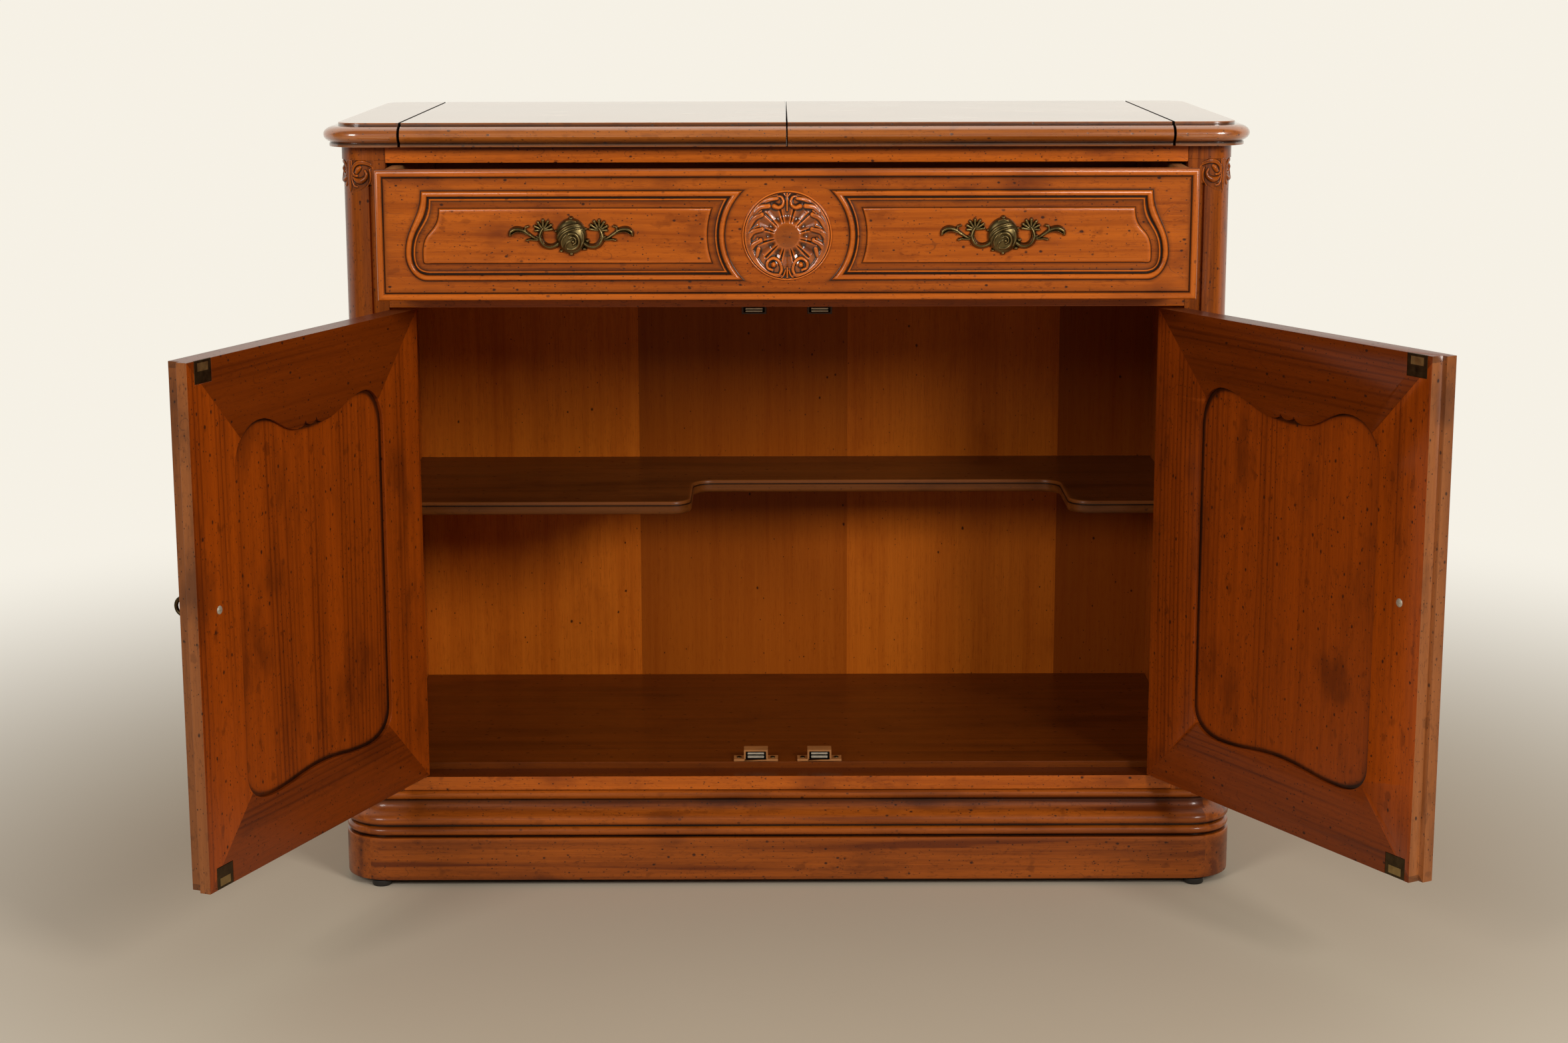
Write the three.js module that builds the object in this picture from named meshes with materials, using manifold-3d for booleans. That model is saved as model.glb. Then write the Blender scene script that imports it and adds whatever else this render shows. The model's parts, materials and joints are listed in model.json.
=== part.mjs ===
// Bar cabinet with a fold-out serving top, a drawer and a pair of rebated doors.
// Millimetres, Z up. X runs along the front and Y from the front to the back, with the floor at Z = 0.
// The doors stand open and the drawer is pulled out a little.
import * as THREE from 'three';
import { mergeVertices } from 'three/addons/utils/BufferGeometryUtils.js';
import Module from 'manifold-3d';

const wasm = await Module();
wasm.setup();

// Heights, stacked from the floor to the top
const glideHeight = 7.3;
const plinthHeight = 45.2;
const baseMouldingHeight = 45.5;
const bottomRailHeight = 14.7;
const doorOpeningHeight = 485;
const dividerRailHeight = 15.8;
const drawerOpeningHeight = 127;
const friezeRailHeight = 16;
const topThickness = 23.3;

// Clearances and overruns
const restClearance = 0.3;
const cutOverrun = 2;
const weldDistance = 0.0001;

// Case
const caseHalfWidth = 439.7;
const postWidth = 44.9;
const sidePanelSetIn = 3.7;
const sidePanelThickness = 18.9;
const interiorBack = 385.9;
const backPanelThickness = 7;
const postDepth = 46;
const friezeRailDepth = 20;
const deckThickness = 12;
const floorThickness = 16;
const floorRise = 6.6;

// Corner column and its carved capital
const columnRadius = 28;
const columnSetBack = 1.5;
const quirkWidth = 3.4;
const quirkDepth = 3.2;
const capitalBlockHeight = 13.5;
const scrollRadius = 13;
const scrollEyeRadius = 4.4;
const scrollWireRadius = 2.5;
const scrollCentreAlong = 9;
const scrollTurns = 1.45;
const leafLength = 34;
const leafWidth = 9.5;
const leafProud = 3.2;

// Folding top
const topSideOverhang = 0.9;
const topFrontOverhang = 6.2;
const topBackSetIn = 11.1;
const topCornerRadius = 24;
const topStepHeight = 3.4;
const topStepOut = 1.6;
const bullnoseReach = 16.4;
const bullnoseHeight = 16.8;
const topFilletHeight = 3.1;
const topFilletOut = 10.8;
const topStripWidth = 62.2;
const outerSeamGap = 2;
const centreSeamGap = 1;

// Concealed hinges of the folding top
const foldHingeLength = 44;
const foldHingeHeight = 9;
const foldHingeDepth = 13;
const foldHingeInset = 70;
const foldHingeDrop = 11.5;
const foldHingeLinkSlot = 5;

// Base
const plinthOut = 18.7;
const plinthWall = 22;
const baseWall = 24;
const glideRadius = 10;

// Doors
const doorThickness = 22.7;
const doorClearance = 1.6;
const doorEdgeGap = 0.5;
const hingePinFromOpening = 4.2;
const doorFrontSetBack = 5.7;
const meetingGap = 1;
const rebateWidth = 5.8;
const rebateGap = 1;
const leftDoorAngle = 112.46;
const rightDoorAngle = 119.57;
const doorHingeStileWidth = 70.7;
const doorMeetingStileWidth = 64.6;
const doorTopRailWidth = 66;
const doorBottomRailWidth = 63;
const sightMouldingWidth = 6;
const sightMouldingDepth = 6;
const panelGrooveDepth = 8;
const panelGrooveFront = 8;
const panelGrooveBack = 19;
const insideArris = 1.2;
const panelTopDip = 17;
const panelBottomRise = 7;
const panelShoulderDrop = 42;
const panelFootRise = 30;
const fieldInset = 21;
const fieldHeight = 5.3;

// Door furniture
const hingeHeight = 57;
const hingeFromDoorEnd = 55;
const hingeLeafThickness = 1.6;
const hingeLeafDepth = 19;
const barrelRadius = 2.4;
const barrelClearance = 0.4;
const doorNotchClearance = 0.9;
const hingePinRadius = 1;
const hingeBoreRadius = 1.45;
const strikeWidth = 25.5;
const strikeHeight = 20.5;
const strikeThickness = 1.2;
const strikeFromEdge = 12;
const pullAboveDoorBottom = 255.4;
const pullFromMeeting = 31.5;
const pullPlateRadius = 11;
const pullPlateThickness = 2.4;
const pullNeckRadius = 2.8;
const pullNeckLength = 6.5;
const pullRingRadius = 8;
const pullWireRadius = 1.9;

// Catches
const catchWidth = 25;
const catchDepth = 15;
const topCatchHeight = 11;
const bottomCatchHeight = 9.2;
const catchFootThickness = 3.4;
const catchFootWidth = 46;
const catchPlateWidth = 17;
const catchPlateThickness = 1.6;
const catchPlateProud = 0.4;
const catchInset = 20.5;
const catchFromDoor = 1.2;

// Shelf
const shelfAboveOpening = 264.2;
const shelfThickness = 13.6;
const shelfWingDepth = 267.9;
const shelfRecessDepth = 122;
const shelfRecessLeft = 101;
const shelfRecessRight = 297;
const shelfCurve = 24;
const shelfEdgeStep = 2.4;

// Drawer
const drawerPulledOut = 82.9;
const drawerFrontGap = 0.8;
const drawerFrontThickness = 20;
const drawerSideThickness = 12;
const drawerSideHeight = 124;
const drawerSideSetIn = 4;
const drawerBackRoom = 25.9;
const drawerBottomThickness = 5;
const drawerBottomRaise = 7;
const runnerHeight = 11;
const runnerWidth = 42;
const guideHeight = 20;
const guideGap = 0.5;
const beadWidth = 7.5;
const beadProud = 2.2;
const beadQuirkWidth = 1.2;

// Drawer carving
const carvingAboveOpening = 63.3;
const cartoucheTipArcRadius = 60;
const cartoucheHalfHeight = 43;
const cartoucheFromEdge = 44;
const cartoucheBulgeFromEdge = 28;
const cartoucheBulgeDrop = 17;
const cartoucheCornerRadius = 20;
const cartoucheBandWidth = 7;
const cartoucheBandProud = 4.7;
const cartoucheFieldInset = 17.5;
const cartoucheFieldProud = 2.2;
const medallionRadius = 43.5;
const medallionProud = 6.5;
const medallionFlutes = 12;

// Drawer pulls
const pullOffCentre = 6.2;
const castingHalfWidth = 61;
const castingHalfHeight = 17.6;
const castingBossHalfWidth = 14.7;
const castingBossProud = 8.5;
const castingThickness = 3;
const castingFanRadius = 9;

// Widths, levels and depths worked out from the driving sizes
const openingHalfWidth = caseHalfWidth - postWidth;
const sideOuter = caseHalfWidth - sidePanelSetIn;
const interiorHalfWidth = sideOuter - sidePanelThickness;
const topHalfWidth = caseHalfWidth + topSideOverhang;
const outerSeamHalfWidth = topHalfWidth - topStripWidth;
const plinthTop = glideHeight + plinthHeight;
const baseTop = plinthTop + baseMouldingHeight;
const openingBottom = baseTop + bottomRailHeight;
const openingTop = openingBottom + doorOpeningHeight;
const drawerOpeningBottom = openingTop + dividerRailHeight;
const drawerOpeningTop = drawerOpeningBottom + drawerOpeningHeight;
const caseTop = drawerOpeningTop + friezeRailHeight;
const topUnderside = caseTop + restClearance;
const topSurface = topUnderside + topThickness;
const caseBack = interiorBack + backPanelThickness;
const topBack = caseBack - topBackSetIn;
const floorTop = openingBottom + floorRise;
const doorBack = doorFrontSetBack + doorThickness;
const floorFront = doorBack + meetingGap;
const hingePinX = openingHalfWidth - hingePinFromOpening;
const doorBottom = openingBottom + doorClearance;
const doorTop = openingTop - doorClearance;
const pullHeight = doorBottom + pullAboveDoorBottom;
const shelfHeight = openingBottom + shelfAboveOpening;
const carvingHeight = drawerOpeningBottom + carvingAboveOpening;

// Colours
const cherry = { color: 0x9a4f1d, roughness: 0.38, metalness: 0 };
const cherryDark = { color: 0x6b3413, roughness: 0.45, metalness: 0 };
const drawerWood = { color: 0xb98a58, roughness: 0.6, metalness: 0 };
const antiqueBrass = { color: 0x6f6444, roughness: 0.42, metalness: 1 };
const bronze = { color: 0x4a4136, roughness: 0.45, metalness: 1 };
const tanPlastic = { color: 0x9a7b50, roughness: 0.55, metalness: 0 };
const glideNylon = { color: 0x2b2622, roughness: 0.6, metalness: 0 };

function part(name, geometry, finish) {
  const mesh = new THREE.Mesh(geometry, new THREE.MeshStandardMaterial(finish));
  mesh.name = name;
  return mesh;
}

function toSolid(geometry) {
  const bare = geometry.clone();
  bare.deleteAttribute('normal');
  bare.deleteAttribute('uv');
  const welded = mergeVertices(bare, weldDistance);
  const vertProperties = new Float32Array(welded.attributes.position.array);
  const triVerts = new Uint32Array(welded.index.array);
  return new wasm.Manifold(new wasm.Mesh({ numProp: 3, vertProperties, triVerts }));
}

function toGeometry(solid) {
  const mesh = solid.getMesh();
  const geometry = new THREE.BufferGeometry();
  geometry.setAttribute('position', new THREE.BufferAttribute(new Float32Array(mesh.vertProperties), 3));
  geometry.setIndex(new THREE.BufferAttribute(new Uint32Array(mesh.triVerts), 1));
  return geometry;
}

function cut(body, ...tools) {
  return toGeometry(tools.reduce((solid, tool) => solid.subtract(toSolid(tool)), toSolid(body)));
}

function join(body, ...others) {
  return toGeometry(others.reduce((solid, other) => solid.add(toSolid(other)), toSolid(body)));
}

function common(body, other) {
  return toGeometry(toSolid(body).intersect(toSolid(other)));
}

function board(x0, x1, y0, y1, z0, z1) {
  const geometry = new THREE.BoxGeometry(x1 - x0, y1 - y0, z1 - z0);
  return geometry.translate((x0 + x1) / 2, (y0 + y1) / 2, (z0 + z1) / 2);
}

// A board that reaches as far to the left of the middle as to the right
function across(halfWidth, y0, y1, z0, z1) {
  return board(-halfWidth, halfWidth, y0, y1, z0, z1);
}

function disc(x, y, z0, z1, radius, sides) {
  const geometry = new THREE.CylinderGeometry(radius, radius, z1 - z0, sides);
  return geometry.rotateX(Math.PI / 2).translate(x, y, (z0 + z1) / 2);
}

// A plan outline raised from z0 to z1
function raised(points, z0, z1) {
  const shape = new THREE.Shape(points.map(([x, y]) => new THREE.Vector2(x, y)));
  return new THREE.ExtrudeGeometry(shape, { depth: z1 - z0, bevelEnabled: false }).translate(0, 0, z0);
}

// Turns what was drawn flat in X and Y upright, with its upper side to the front
function standing(geometry) {
  return geometry.rotateX(Math.PI / 2);
}

// The mirror image across the middle plane, with its faces turned the right way again
function mirrored(geometry) {
  const copy = geometry.index ? geometry.toNonIndexed() : geometry.clone();
  copy.deleteAttribute('normal');
  copy.deleteAttribute('uv');
  copy.scale(-1, 1, 1);
  const place = copy.attributes.position;
  const corner = new THREE.Vector3();
  const swapped = new THREE.Vector3();
  for (let i = 0; i < place.count; i += 3) {
    corner.fromBufferAttribute(place, i + 1);
    swapped.fromBufferAttribute(place, i + 2);
    place.setXYZ(i + 1, swapped.x, swapped.y, swapped.z);
    place.setXYZ(i + 2, corner.x, corner.y, corner.z);
  }
  return mergeVertices(copy, weldDistance);
}

function sided(geometry, side) {
  return side > 0 ? geometry : mirrored(geometry);
}

// Moves each edge of an outline outward by its own distance and meets the neighbours again
function offsetOutline(points, distance, holds = () => false) {
  const count = points.length;
  const edges = points.map(([x, y], i) => {
    const [nextX, nextY] = points[(i + 1) % count];
    const length = Math.hypot(nextX - x, nextY - y);
    const move = holds([x, y], [nextX, nextY]) ? 0 : distance;
    return { nx: (nextY - y) / length, ny: (x - nextX) / length, move };
  });
  return points.map(([x, y], i) => {
    const before = edges[(i + count - 1) % count];
    const after = edges[i];
    const turn = before.nx * after.ny - before.ny * after.nx;
    if (Math.abs(turn) < weldDistance) {
      return [x + after.nx * after.move, y + after.ny * after.move];
    }
    const dx = (before.move * after.ny - after.move * before.ny) / turn;
    const dy = (after.move * before.nx - before.move * after.nx) / turn;
    return [x + dx, y + dy];
  });
}

// A closed body through rings that have the same number of points, from the lowest to the highest
function throughRings(rings) {
  const count = rings[0].points.length;
  const positions = rings.flatMap(({ points, at }) => points.flatMap(([x, y]) => [x, y, at]));
  const indices = [];
  for (let ring = 0; ring + 1 < rings.length; ring += 1) {
    for (let i = 0; i < count; i += 1) {
      const a = ring * count + i;
      const b = ring * count + (i + 1) % count;
      indices.push(a, b, b + count, a, b + count, a + count);
    }
  }
  const capOf = ({ points }) => THREE.ShapeUtils.triangulateShape(
    points.map(([x, y]) => new THREE.Vector2(x, y)), []);
  for (const [a, b, c] of capOf(rings[0])) {
    indices.push(a, c, b);
  }
  const last = (rings.length - 1) * count;
  for (const [a, b, c] of capOf(rings[rings.length - 1])) {
    indices.push(last + a, last + b, last + c);
  }
  const geometry = new THREE.BufferGeometry();
  geometry.setAttribute('position', new THREE.Float32BufferAttribute(positions, 3));
  geometry.setIndex(indices);
  return geometry;
}

// An outline carried up through a list of offsets and levels
function moulded(points, profile, holds) {
  return throughRings(profile.map(([out, at]) => ({ points: offsetOutline(points, out, holds), at })));
}

// Points of a cubic curve after its start, so stretches can follow each other
function curve(start, handleOut, handleIn, end, steps) {
  const bezier = new THREE.CubicBezierCurve(
    new THREE.Vector2(...start),
    new THREE.Vector2(...handleOut),
    new THREE.Vector2(...handleIn),
    new THREE.Vector2(...end),
  );
  return bezier.getPoints(steps).slice(1).map((p) => [p.x, p.y]);
}

function arc(x, y, radius, from, to, steps) {
  return Array.from({ length: steps + 1 }, (_, i) => {
    const angle = from + (to - from) * i / steps;
    return [x + radius * Math.cos(angle), y + radius * Math.sin(angle)];
  });
}

function tube(points, radius, steps, sides) {
  const path = new THREE.CatmullRomCurve3(points);
  const lastAngle = 2 * Math.PI * (sides - 1) / sides;
  const ring = arc(0, 0, radius, 0, lastAngle, sides - 1).map(([x, y]) => new THREE.Vector2(x, y));
  const section = new THREE.Shape(ring);
  return new THREE.ExtrudeGeometry(section, { steps, extrudePath: path, bevelEnabled: false });
}

const quarterTurn = Math.PI / 2;

// Plan of the base: rounded front corners and square back corners
function basePlan() {
  const steps = 8;
  const straight = caseHalfWidth - columnRadius;
  return [
    [-caseHalfWidth, caseBack],
    ...arc(-straight, columnRadius, columnRadius, 2 * quarterTurn, 3 * quarterTurn, steps),
    ...arc(straight, columnRadius, columnRadius, 3 * quarterTurn, 4 * quarterTurn, steps),
    [caseHalfWidth, caseBack],
  ];
}

function isBackEdge([, y0], [, y1]) {
  return y0 >= caseBack && y1 >= caseBack;
}

function plinthFrame() {
  const body = moulded(basePlan(), [[plinthOut, glideHeight], [plinthOut, plinthTop]], isBackEdge);
  const inner = caseHalfWidth + plinthOut - plinthWall;
  const pocket = board(-inner, inner, plinthWall - plinthOut, caseBack - plinthWall,
    glideHeight - cutOverrun, plinthTop + cutOverrun);
  return cut(body, pocket);
}

// Half-round bead, groove, ogee and upper bead, in shares of the plinth's reach and the moulding's height
const baseProfileShares = [
  [0.64, 0],
  [0.64, 0.045],
  [0.86, 0.06],
  [0.99, 0.14],
  [0.86, 0.23],
  [0.64, 0.26],
  [0.64, 0.3],
  [0.9, 0.32],
  [1, 0.4],
  [0.93, 0.49],
  [0.62, 0.58],
  [0.38, 0.67],
  [0.27, 0.8],
  [0.21, 0.81],
  [0.2, 0.91],
  [0.1, 0.975],
  [0, 1],
];

function baseMoulding() {
  const profile = baseProfileShares.map(([outShare, upShare]) => [
    outShare * plinthOut,
    plinthTop + upShare * baseMouldingHeight,
  ]);
  const inner = caseHalfWidth - baseWall;
  const pocket = board(-inner, inner, baseWall, caseBack - baseWall,
    plinthTop - cutOverrun, baseTop + cutOverrun);
  return cut(moulded(basePlan(), profile, isBackEdge), pocket);
}

// Plan of the corner column's front, from the quirk round to the side, for the right-hand post
function postPlan(outerHalfWidth, front, withQuirk) {
  const steps = 8;
  const centreX = caseHalfWidth - columnRadius;
  const radius = outerHalfWidth - centreX;
  const round = arc(centreX, front + radius, radius, 3 * quarterTurn, 4 * quarterTurn, steps);
  const quirkFloorShares = [0.7, 0.2];
  const quirk = [
    [centreX - quirkWidth, 0],
    ...quirkFloorShares.map((share) => [centreX - share * quirkWidth, quirkDepth]),
  ];
  return [
    [openingHalfWidth, 0],
    ...(withQuirk ? quirk : []),
    ...round,
    [outerHalfWidth, postDepth],
    [openingHalfWidth, postDepth],
  ];
}

// A place on the column's face: along it from the quirk, at a height, proud of the wood
function onColumn(along, height, proud) {
  const centreX = caseHalfWidth - columnRadius;
  const front = columnSetBack;
  if (along < 0) {
    return new THREE.Vector3(centreX + along, front - proud, height);
  }
  const angle = along / columnRadius;
  const reach = columnRadius - front + proud;
  return new THREE.Vector3(centreX + reach * Math.sin(angle), columnRadius - reach * Math.cos(angle), height);
}

// One C-scroll that winds in to its eye on the face of the column
function capitalScroll(centreAlong, turnDirection) {
  const steps = 14;
  const sides = 6;
  const centreHeight = caseTop - capitalBlockHeight - scrollRadius - scrollWireRadius;
  const points = Array.from({ length: steps + 1 }, (_, i) => {
    const share = i / steps;
    const angle = Math.PI - share * scrollTurns * 2 * Math.PI;
    const radius = scrollRadius + (scrollEyeRadius - scrollRadius) * share;
    const along = centreAlong + turnDirection * radius * Math.cos(angle);
    return onColumn(along, centreHeight + radius * Math.sin(angle), 0);
  });
  const eyePlace = onColumn(centreAlong, centreHeight, -columnSetBack);
  const eye = new THREE.SphereGeometry(scrollEyeRadius, sides, sides).translate(...eyePlace.toArray());
  const wireSteps = 22;
  return [tube(points, scrollWireRadius, wireSteps, sides), eye];
}

// The leaf that droops down the corner between the two scrolls
function capitalLeaf() {
  const sides = 8;
  const diagonal = columnRadius * quarterTurn / 2;
  const leaf = new THREE.SphereGeometry(1, sides, sides);
  leaf.rotateX(quarterTurn).scale(leafWidth / 2, leafProud + columnSetBack, leafLength / 2);
  leaf.rotateZ(quarterTurn / 2);
  const middle = caseTop - capitalBlockHeight - leafLength / 2;
  return leaf.translate(...onColumn(diagonal, middle, 0).toArray());
}

function frontPost() {
  const blockLow = caseTop - capitalBlockHeight;
  const column = raised(postPlan(caseHalfWidth, columnSetBack, true), baseTop, blockLow);
  const block = raised(postPlan(caseHalfWidth + columnSetBack, 0, false), blockLow, caseTop);
  const diagonal = columnRadius * quarterTurn;
  const carving = [
    ...capitalScroll(scrollCentreAlong, 1),
    ...capitalScroll(diagonal - scrollCentreAlong, -1),
    capitalLeaf(),
  ];
  const hinges = doorHingeHeights().map((z) => hingeMortiseInPost(z));
  return cut(join(column, block, ...carving), ...hinges);
}

function doorHingeHeights() {
  const half = hingeHeight / 2;
  return [doorTop - hingeFromDoorEnd - half, doorBottom + hingeFromDoorEnd + half];
}

// Butt hinge of the right-hand door: plate in the post, web round to the barrel, two knuckles and the pin
function fixedHingeLeaf(middle) {
  const sides = 10;
  const low = middle - hingeHeight / 2;
  const high = middle + hingeHeight / 2;
  const knuckle = hingeHeight / 3;
  const webFront = doorFrontSetBack - barrelRadius;
  const plateOut = openingHalfWidth + hingeLeafThickness;
  const plate = board(openingHalfWidth, plateOut, webFront, webFront + hingeLeafDepth, low, high);
  const knuckles = [[low, low + knuckle], [high - knuckle, high]].flatMap(([from, to]) => [
    board(hingePinX, plateOut, webFront, webFront + hingeLeafThickness, from, to),
    disc(hingePinX, doorFrontSetBack, from, to, barrelRadius, sides),
  ]);
  const pin = disc(hingePinX, doorFrontSetBack, low + knuckle / 2, high - knuckle / 2, hingePinRadius, sides);
  return join(plate, ...knuckles, pin);
}

function hingeMortiseInPost(middle) {
  const front = doorFrontSetBack - barrelRadius - restClearance;
  return board(openingHalfWidth - cutOverrun, openingHalfWidth + hingeLeafThickness + restClearance,
    front, front + hingeLeafDepth + 2 * restClearance,
    middle - hingeHeight / 2 - restClearance, middle + hingeHeight / 2 + restClearance);
}

// Everything on a door is drawn from its hinge pin: X to the meeting edge, Y from its front to its back
const doorHingeEdge = doorEdgeGap - hingePinFromOpening;
const doorMiddle = hingePinX;
const doorShoulder = doorMiddle - rebateWidth / 2 - meetingGap / 2;
const doorLip = doorMiddle + rebateWidth / 2 - meetingGap / 2;

function movingHingeLeaf(middle) {
  const sides = 10;
  const low = middle - hingeHeight / 2;
  const high = middle + hingeHeight / 2;
  const knuckle = hingeHeight / 3;
  const from = low + knuckle + restClearance;
  const to = high - knuckle - restClearance;
  const plateEnd = doorHingeEdge + hingeLeafThickness;
  const plateFront = barrelRadius + 2 * barrelClearance;
  const plate = board(doorHingeEdge, plateEnd, plateFront, hingeLeafDepth, low, high);
  const tab = board(doorHingeEdge, plateEnd, -hingePinRadius, plateFront, from, to);
  const arm = board(doorHingeEdge, -hingeBoreRadius, -hingePinRadius, 0, from, to);
  const barrel = disc(0, 0, from, to, barrelRadius, sides);
  const bore = disc(0, 0, low, high, hingeBoreRadius, sides);
  return cut(join(plate, tab, arm, barrel), bore);
}

function hingeMortiseInDoor(middle) {
  const low = middle - hingeHeight / 2 - restClearance;
  const high = middle + hingeHeight / 2 + restClearance;
  const notch = barrelRadius + doorNotchClearance;
  return [
    board(doorHingeEdge - cutOverrun, doorHingeEdge + hingeLeafThickness + restClearance,
      -cutOverrun, hingeLeafDepth + restClearance, low, high),
    board(doorHingeEdge - cutOverrun, notch, -cutOverrun, notch, low, high),
  ];
}

// Shaped opening of the door frame: high shoulders, a dipped middle and a gently waved foot
function panelOutline(out) {
  const steps = 6;
  const left = doorHingeEdge + doorHingeStileWidth - out;
  const right = doorMiddle - doorMeetingStileWidth + out;
  const middle = (left + right) / 2;
  const half = (right - left) / 2;
  const crown = doorTop - doorTopRailWidth + out;
  const foot = doorBottom + doorBottomRailWidth - out;
  const shoulder = crown - panelShoulderDrop;
  const ankle = foot + panelFootRise;
  const dip = crown - panelTopDip;
  const rise = foot + panelBottomRise;
  const handleShare = 0.55;
  const topShares = [0.86, 0.68, 0.46, 0.4, 0.1];
  const bottomShares = [0.8, 0.6, 0.36, 0.22, 0.04];
  const wing = (side) => {
    const edge = middle + side * half;
    const places = (shares) => shares.map((share) => middle + side * share * half);
    const [topTurn, crownEnd, crownOut, dipIn, dipEnd] = places(topShares);
    const [footTurn, footEnd, footOut, riseIn, riseEnd] = places(bottomShares);
    return {
      edge,
      top: [
        ...curve([edge, shoulder], [edge, shoulder + handleShare * panelShoulderDrop],
          [topTurn, crown], [crownEnd, crown], steps),
        ...curve([crownEnd, crown], [crownOut, crown], [dipIn, dip], [dipEnd, dip], steps),
      ],
      bottom: [
        ...curve([edge, ankle], [edge, ankle - handleShare * panelFootRise],
          [footTurn, foot], [footEnd, foot], steps),
        ...curve([footEnd, foot], [footOut, foot], [riseIn, rise], [riseEnd, rise], steps),
      ],
    };
  };
  const rightWing = wing(1);
  const leftWing = wing(-1);
  return [
    [rightWing.edge, shoulder],
    ...rightWing.top,
    ...leftWing.top.reverse(),
    [leftWing.edge, shoulder],
    [leftWing.edge, ankle],
    ...leftWing.bottom,
    ...rightWing.bottom.reverse(),
    [rightWing.edge, ankle],
  ];
}

function throughPanelOutline(profile) {
  return standing(throughRings(profile.map(([out, at]) => ({ points: panelOutline(out), at }))));
}

function doorFrame(side) {
  const sightShares = [[0, 1], [0.4, 0.66], [0.86, 0.34], [1, 0]];
  const halfDepth = doorThickness / 2;
  const lipInFront = side > 0;
  const frontEnd = lipInFront ? doorLip : doorShoulder;
  const backEnd = lipInFront ? doorShoulder : doorLip;
  const stepDepth = halfDepth + (lipInFront ? -rebateGap / 2 : rebateGap / 2);
  const plan = [
    [doorHingeEdge, 0],
    [frontEnd, 0],
    [frontEnd, stepDepth],
    [backEnd, stepDepth],
    [backEnd, doorThickness],
    [doorHingeEdge, doorThickness],
  ];
  const opening = throughPanelOutline([
    [insideArris, -doorThickness - cutOverrun],
    [insideArris, -doorThickness],
    [0, insideArris - doorThickness],
    [0, -panelGrooveBack],
    [panelGrooveDepth, -panelGrooveBack],
    [panelGrooveDepth, -panelGrooveFront],
    [0, -panelGrooveFront],
    ...sightShares.map(([outShare, downShare]) => [
      outShare * sightMouldingWidth,
      -downShare * sightMouldingDepth,
    ]),
    [sightMouldingWidth, cutOverrun],
  ]);
  const recess = strikeHeights().map(([low, high]) => board(
    doorLip - strikeFromEdge - strikeWidth - restClearance, doorLip - strikeFromEdge + restClearance,
    doorThickness - strikeThickness - restClearance, doorThickness + cutOverrun,
    low - restClearance, high + restClearance));
  const mortises = doorHingeHeights().flatMap((z) => hingeMortiseInDoor(z));
  return cut(raised(plan, doorBottom, doorTop), opening, ...mortises, ...recess);
}

function doorPanel() {
  const fieldShares = [[0.2, 0], [0.6, 0.3], [0.93, 0.75], [1, 1]];
  const tongue = panelGrooveDepth - restClearance;
  const back = -panelGrooveBack + restClearance;
  const front = -panelGrooveFront - restClearance;
  return throughPanelOutline([
    [tongue, back],
    [tongue, front],
    ...fieldShares.map(([inShare, upShare]) => [-inShare * fieldInset, front + upShare * fieldHeight]),
  ]);
}

function strikeHeights() {
  return [[doorTop - strikeHeight, doorTop], [doorBottom, doorBottom + strikeHeight]];
}

function strikePlate([low, high]) {
  const end = doorLip - strikeFromEdge;
  return board(end - strikeWidth, end, doorThickness - strikeThickness, doorThickness, low, high);
}

// Round back plate, neck and key-bow ring that stands square to the door
function doorPull() {
  const sides = 16;
  const wireSides = 8;
  const plateCrownShare = 0.75;
  const neckFlareShare = 1.4;
  const along = doorMiddle - pullFromMeeting;
  const profile = [
    [0, restClearance],
    [pullPlateRadius, restClearance],
    [pullPlateRadius, restClearance + pullPlateThickness / 2],
    [plateCrownShare * pullPlateRadius, restClearance + pullPlateThickness],
    [neckFlareShare * pullNeckRadius, restClearance + pullPlateThickness],
    [pullNeckRadius, restClearance + 2 * pullPlateThickness],
    [pullNeckRadius, restClearance + pullPlateThickness + pullNeckLength],
    [0, restClearance + pullPlateThickness + pullNeckLength],
  ];
  const turned = new THREE.LatheGeometry(profile.map(([x, y]) => new THREE.Vector2(x, y)), sides);
  turned.rotateX(2 * quarterTurn);
  const reach = restClearance + pullPlateThickness + pullNeckLength + pullRingRadius - pullWireRadius;
  const ring = new THREE.TorusGeometry(pullRingRadius, pullWireRadius, wireSides, sides);
  ring.rotateY(quarterTurn).translate(0, -reach, 0);
  return join(turned, ring).translate(along, 0, pullHeight);
}

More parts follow.
